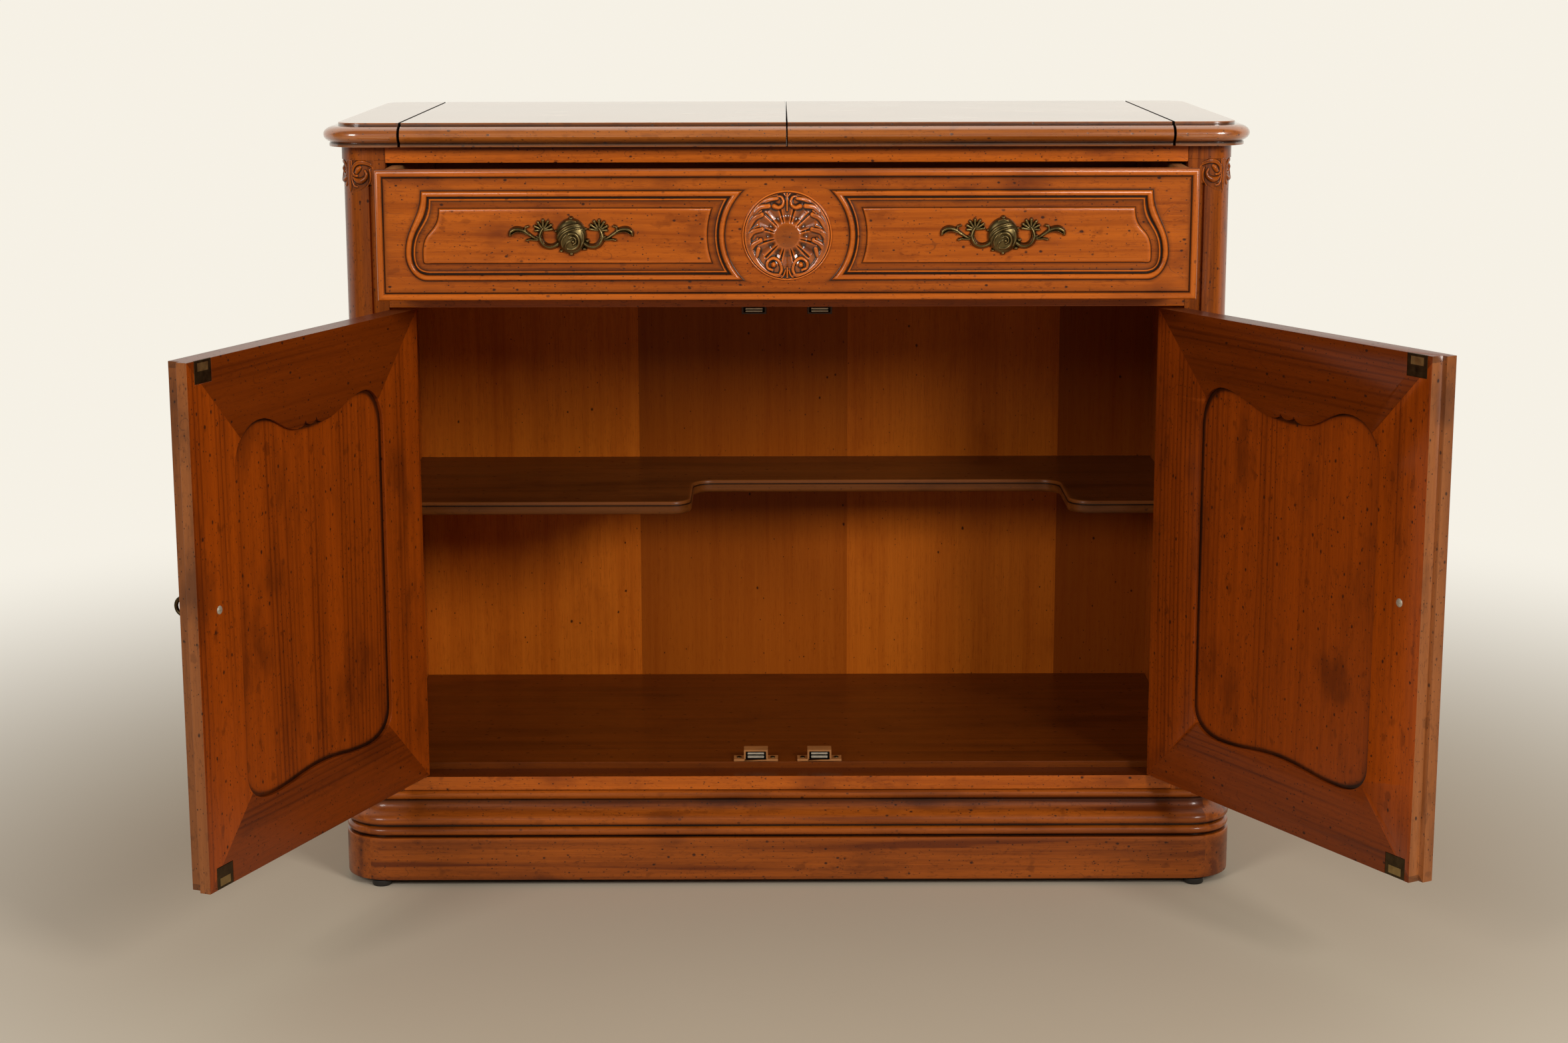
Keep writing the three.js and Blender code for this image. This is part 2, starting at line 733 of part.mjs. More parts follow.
// Folding top, cut from one moulded slab
function topSlab() {
  const steps = 6;
  const front = -topFrontOverhang;
  const straight = topHalfWidth - topCornerRadius;
  const plan = [
    ...arc(straight, topBack - topCornerRadius, topCornerRadius, 0, quarterTurn, steps),
    ...arc(-straight, topBack - topCornerRadius, topCornerRadius, quarterTurn, 2 * quarterTurn, steps),
    ...arc(-straight, front + topCornerRadius, topCornerRadius, 2 * quarterTurn, 3 * quarterTurn, steps),
    ...arc(straight, front + topCornerRadius, topCornerRadius, 3 * quarterTurn, 4 * quarterTurn, steps),
  ];
  const noseTop = topSurface - topStepHeight;
  const noseMiddle = noseTop - bullnoseHeight / 2;
  const noseCentreShare = 0.2;
  const noseCentre = noseCentreShare * bullnoseReach;
  const noseSteps = 7;
  const noseFoot = -0.7 * quarterTurn;
  const stepArrisShare = 0.2;
  const nose = arc(0, 0, 1, noseFoot, quarterTurn, noseSteps).map(([outShare, upShare]) => [
    noseCentre + outShare * (bullnoseReach - noseCentre),
    noseMiddle + upShare * bullnoseHeight / 2,
  ]);
  return moulded(plan, [
    [topFilletOut, topUnderside],
    [topFilletOut, topUnderside + topFilletHeight],
    ...nose,
    [topStepOut, noseTop],
    [topStepOut, topSurface - stepArrisShare * topStepHeight],
    [0, topSurface],
  ]);
}

function foldHingePlaces() {
  return [foldHingeInset - topFrontOverhang, topBack - foldHingeInset];
}

// Half of a concealed hinge, let in flush with an edge of the top and slotted for its folding link
function foldHingeBody(x0, x1, middle, slotAtEnd) {
  const centre = topSurface - foldHingeDrop;
  const half = foldHingeHeight / 2;
  const length = foldHingeLength / 2;
  const body = board(x0, x1, middle - length, middle + length, centre - half, centre + half);
  const slotDepth = foldHingeDepth / 2;
  const [from, to] = slotAtEnd > 0 ? [x1 - slotDepth, x1 + cutOverrun] : [x0 - cutOverrun, x0 + slotDepth];
  const slot = board(from, to, middle - length / 2, middle + length / 2,
    centre - foldHingeLinkSlot / 2, centre + foldHingeLinkSlot / 2);
  return cut(body, slot);
}

function foldHingeMortise(x0, x1, middle) {
  const centre = topSurface - foldHingeDrop;
  const half = foldHingeHeight / 2 + restClearance;
  const length = foldHingeLength / 2 + restClearance;
  return board(x0, x1, middle - length, middle + length, centre - half, centre + half);
}

const outerSeamOut = outerSeamHalfWidth + outerSeamGap / 2;
const outerSeamIn = outerSeamHalfWidth - outerSeamGap / 2;

function topPiece(x0, x1, mortiseFrom, mortiseTo) {
  const window = board(x0, x1, -caseBack, 2 * caseBack, topUnderside - cutOverrun, topSurface + cutOverrun);
  const mortises = foldHingePlaces().map((y) => foldHingeMortise(mortiseFrom, mortiseTo, y));
  return cut(common(topSlab(), window), ...mortises);
}

function shelfBoard() {
  const steps = 5;
  const edgeShares = [
    [1, 0], [0.3, 0.12], [0, 0.3], [0, 0.62], [0.67, 0.66], [0.67, 0.76], [0.4, 0.8], [0.6, 0.92], [1, 1],
  ];
  const wing = interiorHalfWidth;
  const radius = shelfCurve;
  const front = interiorBack - shelfWingDepth;
  const recess = front + shelfRecessDepth;
  const left = -shelfRecessLeft;
  const right = shelfRecessRight;
  const plan = [
    [-wing, interiorBack],
    [-wing, front],
    [left - radius, front],
    ...curve([left - radius, front], [left, front], [left, front], [left, front + radius], steps),
    [left, recess - radius],
    ...curve([left, recess - radius], [left, recess], [left, recess], [left + radius, recess], steps),
    [right - radius, recess],
    ...curve([right - radius, recess], [right, recess], [right, recess], [right, recess - radius], steps),
    [right, front + radius],
    ...curve([right, front + radius], [right, front], [right, front], [right + radius, front], steps),
    [wing, front],
    [wing, interiorBack],
  ];
  const isFixedEdge = ([x0, y0], [x1, y1]) => {
    const alongSide = Math.abs(x0) >= wing && x0 === x1;
    return alongSide || (y0 >= interiorBack && y1 >= interiorBack);
  };
  const profile = edgeShares.map(([inShare, upShare]) => [
    -inShare * shelfEdgeStep,
    shelfHeight - (1 - upShare) * shelfThickness,
  ]);
  return moulded(plan, profile, isFixedEdge);
}

// A board that fills the case between the side panels and is notched round the two posts
function notchedPlan(front) {
  return [
    [-openingHalfWidth, front],
    [openingHalfWidth, front],
    [openingHalfWidth, postDepth],
    [interiorHalfWidth, postDepth],
    [interiorHalfWidth, interiorBack],
    [-interiorHalfWidth, interiorBack],
    [-interiorHalfWidth, postDepth],
    [-openingHalfWidth, postDepth],
  ];
}

// Ledge under the drawer's side with a guide beside it, for the right-hand side
function drawerRunner() {
  const ledgeTop = drawerOpeningBottom;
  const guideX = openingHalfWidth - drawerSideSetIn + guideGap;
  const section = [
    [interiorHalfWidth - runnerWidth, ledgeTop - runnerHeight],
    [interiorHalfWidth, ledgeTop - runnerHeight],
    [interiorHalfWidth, ledgeTop + guideHeight],
    [guideX, ledgeTop + guideHeight],
    [guideX, ledgeTop],
    [interiorHalfWidth - runnerWidth, ledgeTop],
  ];
  return standing(raised(section, -interiorBack, -postDepth));
}

// Magnetic catch of the right-hand door: a housing with two pole plates that just stand proud
function catchHousing(low, high, footLow, footHigh) {
  const middle = catchInset + catchWidth / 2;
  const front = doorBack + catchFromDoor;
  const centre = (low + high) / 2;
  const poleHalf = catchPlateWidth / 2;
  const housing = board(middle - catchWidth / 2, middle + catchWidth / 2, front, front + catchDepth,
    low, high);
  const foot = board(middle - catchFootWidth / 2, middle + catchFootWidth / 2, front, front + catchDepth,
    footLow, footHigh);
  const poles = [-1, 1].map((row) => board(middle - poleHalf, middle + poleHalf,
    front - catchPlateProud, front + catchDepth / 2,
    centre + row * catchPlateThickness - catchPlateThickness / 2,
    centre + row * catchPlateThickness + catchPlateThickness / 2));
  return join(housing, foot, ...poles);
}

function topCatch() {
  const top = openingTop;
  return catchHousing(top - topCatchHeight, top, top - catchFootThickness, top);
}

function bottomCatch() {
  return catchHousing(floorTop, floorTop + catchFootThickness + bottomCatchHeight, floorTop,
    floorTop + catchFootThickness);
}

// Drawer, drawn closed with its front flush with the posts
const drawerFrontHalfWidth = openingHalfWidth - drawerFrontGap;
const drawerFrontLow = drawerOpeningBottom + drawerFrontGap + restClearance;
const drawerFrontHigh = drawerOpeningTop - drawerFrontGap - restClearance;
const drawerSideOuter = openingHalfWidth - drawerSideSetIn;
const drawerSideInner = drawerSideOuter - drawerSideThickness;
const drawerSideLow = drawerOpeningBottom + restClearance;
const drawerBack = interiorBack - drawerBackRoom;
const drawerSideTop = drawerSideLow + drawerSideHeight;
const drawerBottomLow = drawerSideLow + drawerBottomRaise;
const drawerBottomTop = drawerBottomLow + drawerBottomThickness;
const cartoucheOuter = drawerFrontHalfWidth - cartoucheFromEdge;
const cartoucheBulge = drawerFrontHalfWidth - cartoucheBulgeFromEdge;
const pullSpacing = (cartoucheTipArcRadius + cartoucheBulge) / 2 - pullOffCentre;

// Outline of the carved cartouche on the right-hand side of the drawer front
function cartoucheOutline(out) {
  const steps = 7;
  const top = carvingHeight + cartoucheHalfHeight + out;
  const bottom = carvingHeight - cartoucheHalfHeight - out;
  const radius = cartoucheTipArcRadius - out;
  const tipAngle = Math.asin((top - carvingHeight) / radius);
  const outer = cartoucheOuter + out;
  const bulge = cartoucheBulge + out;
  const bulgeHeight = carvingHeight - cartoucheBulgeDrop;
  const cornerShare = 0.5;
  const corner = cartoucheBulge - cartoucheCornerRadius + cornerShare * out;
  const sweepShare = 0.6;
  const sweep = sweepShare * cartoucheHalfHeight;
  return [
    ...arc(0, carvingHeight, radius, tipAngle, -tipAngle, 2 * steps),
    [corner, bottom],
    ...curve([corner, bottom], [corner + sweepShare * cartoucheCornerRadius, bottom],
      [bulge, bulgeHeight - sweepShare * cartoucheCornerRadius], [bulge, bulgeHeight], steps),
    ...curve([bulge, bulgeHeight], [bulge, bulgeHeight + sweep],
      [outer, top - sweep], [outer, top], steps),
  ];
}

function cartouche() {
  const bandShares = [[0, 0.12], [0.1, 0.45], [0.3, 1], [0.6, 1], [0.9, 0.5], [1, 0]];
  const fieldFootShare = 0.9;
  const ground = -beadProud;
  const profile = [
    [0, ground - cutOverrun],
    ...bandShares.map(([inShare, upShare]) => [
      -inShare * cartoucheBandWidth,
      ground + upShare * cartoucheBandProud,
    ]),
    [-fieldFootShare * cartoucheFieldInset, ground],
    [-cartoucheFieldInset, ground + cartoucheFieldProud],
  ];
  return standing(throughRings(profile.map(([out, at]) => ({ points: cartoucheOutline(out), at }))));
}

// Carved roundel: a dome, radial flutes, a ring of leaves and a rim
function medallion() {
  const columns = 48;
  const rowShares = [
    { out: 1, up: 0.15, wave: 0 },
    { out: 0.97, up: 0.55, wave: 0 },
    { out: 0.88, up: 0.75, wave: 0.16 },
    { out: 0.76, up: 0.5, wave: -0.2 },
    { out: 0.64, up: 0.42, wave: 0.14 },
    { out: 0.46, up: 0.5, wave: 0.1 },
    { out: 0.34, up: 0.8, wave: 0 },
    { out: 0.18, up: 1, wave: 0 },
  ];
  const base = -beadProud - cutOverrun;
  const ringAt = (share) => Array.from({ length: columns }, (_, i) => {
    const angle = i / columns * 2 * Math.PI;
    return [share * medallionRadius * Math.cos(angle), share * medallionRadius * Math.sin(angle)];
  });
  const geometry = throughRings([
    { points: ringAt(1), at: base },
    ...rowShares.map(({ out, up }) => ({ points: ringAt(out), at: up * medallionProud - beadProud })),
  ]);
  const place = geometry.attributes.position;
  rowShares.forEach(({ wave }, row) => {
    for (let i = 0; i < columns; i += 1) {
      const index = (row + 1) * columns + i;
      const ripple = wave * medallionProud * Math.cos(medallionFlutes * i / columns * 2 * Math.PI);
      place.setZ(index, place.getZ(index) + ripple);
    }
  });
  return standing(geometry).translate(0, 0, carvingHeight);
}

function drawerFront() {
  const halfWidth = drawerFrontHalfWidth;
  const edge = [
    [-halfWidth, drawerFrontLow],
    [halfWidth, drawerFrontLow],
    [halfWidth, drawerFrontHigh],
    [-halfWidth, drawerFrontHigh],
  ];
  const beadShares = [[0, 0.6], [0.14, 0.2], [0.4, 0], [0.66, 0.2], [0.84, 0.7], [0.84, 1.4]];
  const bead = beadShares.map(([inShare, downShare]) => [-inShare * beadWidth, -downShare * beadProud]);
  const [quirkStart, quirkFloor] = bead[bead.length - 1];
  const slab = standing(moulded(edge, [
    [0, -drawerFrontThickness],
    ...bead,
    [quirkStart - beadQuirkWidth, quirkFloor],
    [-beadWidth - beadQuirkWidth, -beadProud],
  ]));
  const carved = cartouche();
  return join(slab, carved, mirrored(carved), medallion());
}

// Cast pull of the drawer: a bossed rosette between two S-arms with shell fans and leaf tips
function castPull() {
  const bossSides = 10;
  const boss = new THREE.SphereGeometry(1, bossSides, bossSides);
  boss.scale(castingBossHalfWidth, castingBossProud, castingHalfHeight);
  const wing = join(pullFan(), pullLeaf(), pullArm());
  const depth = castingBossProud + castingThickness;
  const inFront = board(-2 * castingHalfWidth, 2 * castingHalfWidth, -depth, -restClearance,
    -2 * castingHalfHeight, 2 * castingHalfHeight);
  return common(join(boss, wing, mirrored(wing)), inFront);
}

// A place on the pull's face, in shares of its half width and half height
function onPull([acrossShare, upShare]) {
  return [acrossShare * castingHalfWidth, upShare * castingHalfHeight];
}

function pullPlate(points) {
  return standing(raised(points, -castingThickness, castingThickness));
}

function pullFan() {
  const ribs = 7;
  const footShares = [[0.42, -0.2], [0.48, -0.2]];
  const centreShares = [0.45, 0.32];
  const valleyShare = 0.86;
  const from = -0.2 * quarterTurn;
  const sweep = 2.4 * quarterTurn;
  const [centreX, centreZ] = onPull(centreShares);
  const lobes = Array.from({ length: 2 * ribs + 1 }, (_, i) => {
    const angle = from + sweep * i / (2 * ribs);
    const radius = castingFanRadius * (i % 2 === 0 ? valleyShare : 1);
    return [centreX + radius * Math.cos(angle), centreZ + radius * Math.sin(angle)];
  });
  return pullPlate([...footShares.map(onPull), ...lobes]);
}

function pullLeaf() {
  const steps = 4;
  const edgeShares = [
    [[0.4, -0.55], [0.7, -0.35], [0.86, 0.02], [0.94, -0.28]],
    [[0.94, -0.28], [1.02, 0], [0.98, 0.34], [0.86, 0.36]],
    [[0.86, 0.36], [0.74, 0.4], [0.6, -0.1], [0.4, -0.2]],
  ];
  const [start] = edgeShares[0];
  return pullPlate([onPull(start), ...edgeShares.flatMap((bend) => curve(...bend.map(onPull), steps))]);
}

function pullArm() {
  const steps = 8;
  const sides = 6;
  const routeShares = [
    { across: 0.12, up: -0.42, out: 0.5 },
    { across: 0.28, up: -0.55, out: 0.8 },
    { across: 0.4, up: -0.42, out: 0.8 },
    { across: 0.45, up: 0.1, out: 0.5 },
  ];
  const route = routeShares.map(({ across, up, out }) => new THREE.Vector3(
    across * castingHalfWidth, -out * castingThickness, up * castingHalfHeight));
  return tube(route, castingThickness, steps, sides);
}

// Case, which stands still
const cabinet = new THREE.Group();
const sideNames = [['left', -1], ['right', 1]];

cabinet.add(
  part('back_panel', across(interiorHalfWidth, interiorBack, caseBack, baseTop, caseTop), cherry),
  part('frieze_rail', across(openingHalfWidth, 0, friezeRailDepth, drawerOpeningTop, caseTop), cherry),
  part('drawer_divider_rail', across(openingHalfWidth, 0, postDepth, openingTop, drawerOpeningBottom),
    cherry),
  part('bottom_rail', across(openingHalfWidth, 0, floorFront, baseTop, openingBottom), cherry),
  part('base_moulding', baseMoulding(), cherry),
  part('plinth_frame', plinthFrame(), cherry),
  part('interior_floor', raised(notchedPlan(floorFront), floorTop - floorThickness, floorTop), cherryDark),
  part('serving_deck', raised(notchedPlan(friezeRailDepth), caseTop - deckThickness, caseTop), cherry),
  part('shelf', shelfBoard(), cherryDark),
);

for (const [sideName, side] of sideNames) {
  const panel = board(interiorHalfWidth, sideOuter, postDepth, caseBack, baseTop, caseTop);
  cabinet.add(
    part(`${sideName}_side_panel`, sided(panel, side), cherry),
    part(`${sideName}_front_post`, sided(frontPost(), side), cherry),
    part(`${sideName}_drawer_runner`, sided(drawerRunner(), side), drawerWood),
    part(`${sideName}_top_catch`, sided(topCatch(), side), tanPlastic),
    part(`${sideName}_bottom_catch`, sided(bottomCatch(), side), tanPlastic),
  );
  const strip = topPiece(outerSeamOut, 2 * topHalfWidth, outerSeamOut - cutOverrun,
    outerSeamOut + foldHingeDepth + restClearance);
  cabinet.add(part(`${sideName}_top_strip`, sided(strip, side), cherry));
  doorHingeHeights().forEach((z, i) => {
    const place = ['upper', 'lower'][i];
    cabinet.add(part(`${sideName}_door_${place}_post_leaf`, sided(fixedHingeLeaf(z), side), antiqueBrass));
  });
  foldHingePlaces().forEach((y, i) => {
    const place = ['front', 'rear'][i];
    const body = foldHingeBody(outerSeamOut, outerSeamOut + foldHingeDepth, y, -1);
    cabinet.add(part(`${sideName}_fold_hinge_${place}_fixed`, sided(body, side), antiqueBrass));
  });
  const glideX = caseHalfWidth + plinthOut - plinthWall / 2 - columnRadius;
  const glideY = [plinthWall / 2 - plinthOut, caseBack - plinthWall / 2];
  glideY.forEach((y, i) => {
    const place = ['front', 'rear'][i];
    const sides = 12;
    const glide = disc(glideX, y, 0, glideHeight, glideRadius, sides);
    cabinet.add(part(`${sideName}_${place}_glide`, sided(glide, side), glideNylon));
  });
}

// Folding leaves of the top
for (const [sideName, side] of sideNames) {
  const leafGroup = new THREE.Group();
  const leaf = topPiece(centreSeamGap / 2, outerSeamIn, outerSeamIn - foldHingeDepth - restClearance,
    outerSeamIn + cutOverrun);
  leafGroup.add(part(`${sideName}_top_leaf`, sided(leaf, side), cherry));
  foldHingePlaces().forEach((y, i) => {
    const place = ['front', 'rear'][i];
    const body = foldHingeBody(outerSeamIn - foldHingeDepth, outerSeamIn, y, 1);
    leafGroup.add(part(`${sideName}_fold_hinge_${place}_moving`, sided(body, side), antiqueBrass));
  });
  cabinet.add(leafGroup);
}

// Drawer, pulled out along its runners
const drawer = new THREE.Group();
drawer.position.set(0, -drawerPulledOut, 0);
drawer.add(
  part('drawer_front', drawerFront(), cherry),
  part('drawer_back', across(drawerSideInner, drawerBack - drawerSideThickness, drawerBack,
    drawerBottomTop, drawerSideTop), drawerWood),
  part('drawer_bottom', across(drawerSideInner, drawerFrontThickness, drawerBack,
    drawerBottomLow, drawerBottomTop), drawerWood),
);
for (const [sideName, side] of sideNames) {
  const sideBoard = board(drawerSideInner, drawerSideOuter, drawerFrontThickness, drawerBack,
    drawerSideLow, drawerSideTop);
  const pull = castPull().translate(side * pullSpacing, beadProud - cartoucheFieldProud, carvingHeight);
  drawer.add(
    part(`drawer_${sideName}_side`, sided(sideBoard, side), drawerWood),
    part(`drawer_${sideName}_pull`, pull, antiqueBrass),
  );
}
cabinet.add(drawer);

// Doors, swung open about their hinge pins
const doorAngles = { left: -leftDoorAngle, right: rightDoorAngle };
for (const [sideName, side] of sideNames) {
  const door = new THREE.Group();
  door.position.set(side * hingePinX, doorFrontSetBack, 0);
  door.rotation.z = THREE.MathUtils.degToRad(doorAngles[sideName]);
  const placed = (geometry) => sided(geometry, -side);
  const [topStrike, bottomStrike] = strikeHeights();
  door.add(
    part(`${sideName}_door_frame`, placed(doorFrame(side)), cherry),
    part(`${sideName}_door_panel`, placed(doorPanel()), cherry),
    part(`${sideName}_door_top_strike`, placed(strikePlate(topStrike)), antiqueBrass),
    part(`${sideName}_door_bottom_strike`, placed(strikePlate(bottomStrike)), antiqueBrass),
    part(`${sideName}_door_pull`, placed(doorPull()), bronze),
  );
  doorHingeHeights().forEach((z, i) => {
    const place = ['upper', 'lower'][i];
    door.add(part(`${sideName}_door_${place}_door_leaf`, placed(movingHingeLeaf(z)), antiqueBrass));
  });
  cabinet.add(door);
}

// The origin is the middle of the footprint, on the floor
cabinet.updateMatrixWorld(true);
const footprint = new THREE.Box3().setFromObject(cabinet, true);
cabinet.position.set(-(footprint.min.x + footprint.max.x) / 2, -(footprint.min.y + footprint.max.y) / 2, 0);

export default cabinet;
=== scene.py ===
"""Looks of the bar cabinet with a fold-out top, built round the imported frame."""

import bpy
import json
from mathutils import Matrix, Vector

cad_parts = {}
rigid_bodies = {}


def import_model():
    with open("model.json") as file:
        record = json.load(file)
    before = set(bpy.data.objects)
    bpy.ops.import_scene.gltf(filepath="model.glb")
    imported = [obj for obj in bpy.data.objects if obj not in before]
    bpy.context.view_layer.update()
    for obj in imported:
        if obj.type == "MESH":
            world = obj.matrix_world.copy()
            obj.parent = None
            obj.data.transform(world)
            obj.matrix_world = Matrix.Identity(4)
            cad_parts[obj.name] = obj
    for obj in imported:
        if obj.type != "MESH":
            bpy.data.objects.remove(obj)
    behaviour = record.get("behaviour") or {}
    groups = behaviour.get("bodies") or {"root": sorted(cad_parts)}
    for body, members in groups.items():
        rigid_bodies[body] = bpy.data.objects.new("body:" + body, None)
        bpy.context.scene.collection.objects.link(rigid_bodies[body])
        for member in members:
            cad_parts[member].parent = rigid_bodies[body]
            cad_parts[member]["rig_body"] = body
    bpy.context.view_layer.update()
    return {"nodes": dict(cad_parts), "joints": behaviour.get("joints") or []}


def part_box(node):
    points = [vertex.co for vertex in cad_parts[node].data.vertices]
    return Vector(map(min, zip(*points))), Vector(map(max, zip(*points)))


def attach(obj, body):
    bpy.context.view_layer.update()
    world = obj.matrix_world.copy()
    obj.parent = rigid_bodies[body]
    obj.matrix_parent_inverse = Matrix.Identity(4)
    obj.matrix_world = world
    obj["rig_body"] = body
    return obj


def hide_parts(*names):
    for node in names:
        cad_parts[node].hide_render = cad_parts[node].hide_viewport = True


bl_info = {
    "name": "Bar cabinet with a fold-out top",
    "version": (1, 0, 0),
    "blender": (4, 5, 0),
    "location": "View3D > Sidebar > Cabinet",
    "description": "Makes the finished pieces of a carved cherry bar cabinet and a plain studio round it",
    "category": "Add Mesh",
}

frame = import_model()

import json
import math
import random

import bpy
import numpy as np
from mathutils import Matrix, Vector

MM = 0.001
QUARTER = math.pi / 2

# The middle plane and the front plane of the case, from the frame
MIDDLE_X = sum(corner.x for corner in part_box("back_panel")) / 2
FRONT_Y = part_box("frieze_rail")[0].y
SIDES = (("left", -1), ("right", 1))
JOINTS = {joint["name"]: joint for joint in frame["joints"]}


def at(x, y, z):
    """A place in metres from millimetres right of the middle, behind the front plane and above the floor."""
    return Vector((MIDDLE_X + x * MM, FRONT_Y + y * MM, z * MM))


# Sizes in millimetres that the frame gives
def level(node, end):
    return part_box(node)[end].z / MM


def half_width(node):
    low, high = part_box(node)
    return (high.x - low.x) / 2 / MM


OPENING_HALF = half_width("frieze_rail")
PLINTH_TOP = level("plinth_frame", 1)
BASE_TOP = level("base_moulding", 1)
CASE_TOP = level("frieze_rail", 1)
TOP_UNDERSIDE = level("left_top_leaf", 0)
TOP_SURFACE = level("left_top_leaf", 1)
CASE_BACK = (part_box("back_panel")[1].y - FRONT_Y) / MM


# Selecting and finishing

BEVEL_STEPS = 2
MERGED_WITHIN = 0.01 * MM
FLAT_WITHIN = 0.3
LOFT_MERGED_WITHIN = 0.002 * MM
MORTISE_SLACK = 0.3
SOFT_EDGE = 0.5


def select_only(*pieces):
    bpy.ops.object.select_all(action="DESELECT")
    for piece in pieces:
        piece.select_set(True)
    bpy.context.view_layer.objects.active = pieces[0]


def edit(piece, mode="FACE"):
    select_only(piece)
    bpy.ops.object.mode_set(mode="EDIT")
    bpy.ops.mesh.select_mode(type=mode)


def leave_edit():
    bpy.ops.object.mode_set(mode="OBJECT")


def apply_place(piece):
    select_only(piece)
    bpy.ops.object.transform_apply(location=True, rotation=True, scale=True)


def finish_modifier(piece, kind, **settings):
    """Adds a modifier, gives it its settings and applies it."""
    select_only(piece)
    modifier = piece.modifiers.new(kind.title(), kind)
    for name, value in settings.items():
        setattr(modifier, name, value)
    bpy.ops.object.modifier_apply(modifier=modifier.name)


def smooth(piece, angle=35):
    select_only(piece)
    bpy.ops.object.shade_smooth_by_angle(angle=math.radians(angle))


def round_edges(piece, width, angle=40):
    """Rounds the edges that turn more than the angle, and keeps the flat faces flat in the shading."""
    finish_modifier(piece, "BEVEL", width=width * MM, segments=BEVEL_STEPS, limit_method="ANGLE",
                    angle_limit=math.radians(angle), use_clamp_overlap=True, miter_outer="MITER_ARC")
    smooth(piece, 50)
    finish_modifier(piece, "WEIGHTED_NORMAL", keep_sharp=True)


def join(*pieces):
    select_only(*pieces)
    bpy.ops.object.join()
    return pieces[0]


def copy_of(node, name):
    """A piece of its own with the shape of a CAD node, its triangles merged into whole faces."""
    piece = bpy.data.objects.new(name, frame["nodes"][node].data.copy())
    piece.data.name = name
    piece.data.materials.clear()
    bpy.context.scene.collection.objects.link(piece)
    edit(piece)
    bpy.ops.mesh.select_all(action="SELECT")
    bpy.ops.mesh.remove_doubles(threshold=MERGED_WITHIN)
    bpy.ops.mesh.dissolve_limited(angle_limit=math.radians(FLAT_WITHIN))
    leave_edit()
    return piece


def cut_away(piece, *cutters, operation="DIFFERENCE"):
    """Cuts the cutters out of the piece, or welds them on where the operation is a union."""
    for cutter in cutters:
        finish_modifier(piece, "BOOLEAN", operation=operation, solver="EXACT", object=cutter)
        bpy.data.objects.remove(cutter)


def split(piece, planes, **settings):
    """Cuts the faces along planes, each given as a place on it and its normal."""
    edit(piece)
    for place, normal in planes:
        bpy.ops.mesh.select_all(action="SELECT")
        bpy.ops.mesh.bisect(plane_co=place, plane_no=normal, **settings)
    leave_edit()


def ready(piece, body, slot, material, *nodes):
    """The piece rides on its body, takes its finish and stands for its CAD nodes."""
    piece.data.materials.clear()
    piece.data.materials.append(material)
    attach(piece, body)
    if nodes:
        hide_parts(*nodes)


# Forms

def named(name):
    """The object that was added last, under its name."""
    piece = bpy.context.object
    piece.name = name
    piece.data.name = name
    return piece


def add_board(name, low, high):
    low = Vector(low)
    high = Vector(high)
    bpy.ops.object.select_all(action="DESELECT")
    bpy.ops.mesh.primitive_cube_add(size=1, location=(low + high) / 2)
    piece = named(name)
    piece.scale = high - low
    apply_place(piece)
    return piece


def mortise(node):
    """A cutter a little larger than the hardware that it makes room for."""
    slack = Vector((MORTISE_SLACK * MM,) * 3)
    low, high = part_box(node)
    return add_board("mortise", low - slack, high + slack)


def add_turned(name, profile, centre=Vector((0, 0, 0)), axis="Z", sides=40):
    """A round piece from a list of radius and height, turned about an upright axis or one along Y."""
    angles = np.linspace(0, 4 * QUARTER, sides + 1)
    rings = [[(radius * math.cos(a), radius * math.sin(a), height) for a in angles]
             for radius, height in profile]
    piece = add_loft(name, np.array(rings) * MM)
    if axis == "Y":
        piece.data.transform(Matrix.Rotation(QUARTER, 4, "X"))
    piece.data.transform(Matrix.Translation(centre))
    return piece


def add_grid(name, columns, rows, places):
    """A sheet of cells through the given places, row by row."""
    bpy.ops.object.select_all(action="DESELECT")
    bpy.ops.mesh.primitive_grid_add(x_subdivisions=columns - 1, y_subdivisions=rows - 1, size=1)
    piece = named(name)
    piece.data.vertices.foreach_set("co", np.array(places, np.float32).reshape(-1))
    return piece


def face_outwards():
    bpy.ops.mesh.select_all(action="SELECT")
    bpy.ops.mesh.normals_make_consistent(inside=False)


def add_loft(name, rings, shades=None):
    """A closed body through rings of points, whose first and last point are the same place."""
    columns = len(rings[0])
    piece = add_grid(name, columns, len(rings), rings)
    if shades is not None:
        keep_shade(piece, np.repeat(np.array(shades, np.float32), columns))
    edit(piece, "VERT")
    bpy.ops.mesh.select_all(action="SELECT")
    bpy.ops.mesh.remove_doubles(threshold=LOFT_MERGED_WITHIN)
    bpy.ops.mesh.fill_holes(sides=0)
    face_outwards()
    leave_edit()
    return piece


def loft_profile(name, profile, ring_at):
    """A body from a profile of reach, height, and glaze with painted shade, and what gives the ring at a
    reach and height.
    """
    return add_loft(name, [ring_at(out, z) for out, z, _ in profile], [shade for _, _, shade in profile])


def keep_shade(piece, values):
    """How dark the glaze and painted shade lie at each point, from 1 in a hollow to -1 on a ridge with wear
    and a painted highlight.
    """
    attribute = piece.data.attributes.new("shade", "FLOAT", "POINT")
    attribute.data.foreach_set("value", np.array(values, np.float32))


def arc(x, y, radius, start, end, steps):
    angles = np.linspace(start, end, steps + 1)
    return [(x + radius * math.cos(a), y + radius * math.sin(a)) for a in angles]


def mesh_values(items, name, kind, size=1):
    """One value of each item of a mesh, or a row of them, read in one go."""
    values = np.empty(len(items) * size, kind)
    items.foreach_get(name, values)
    return values.reshape(-1, size) if size > 1 else values


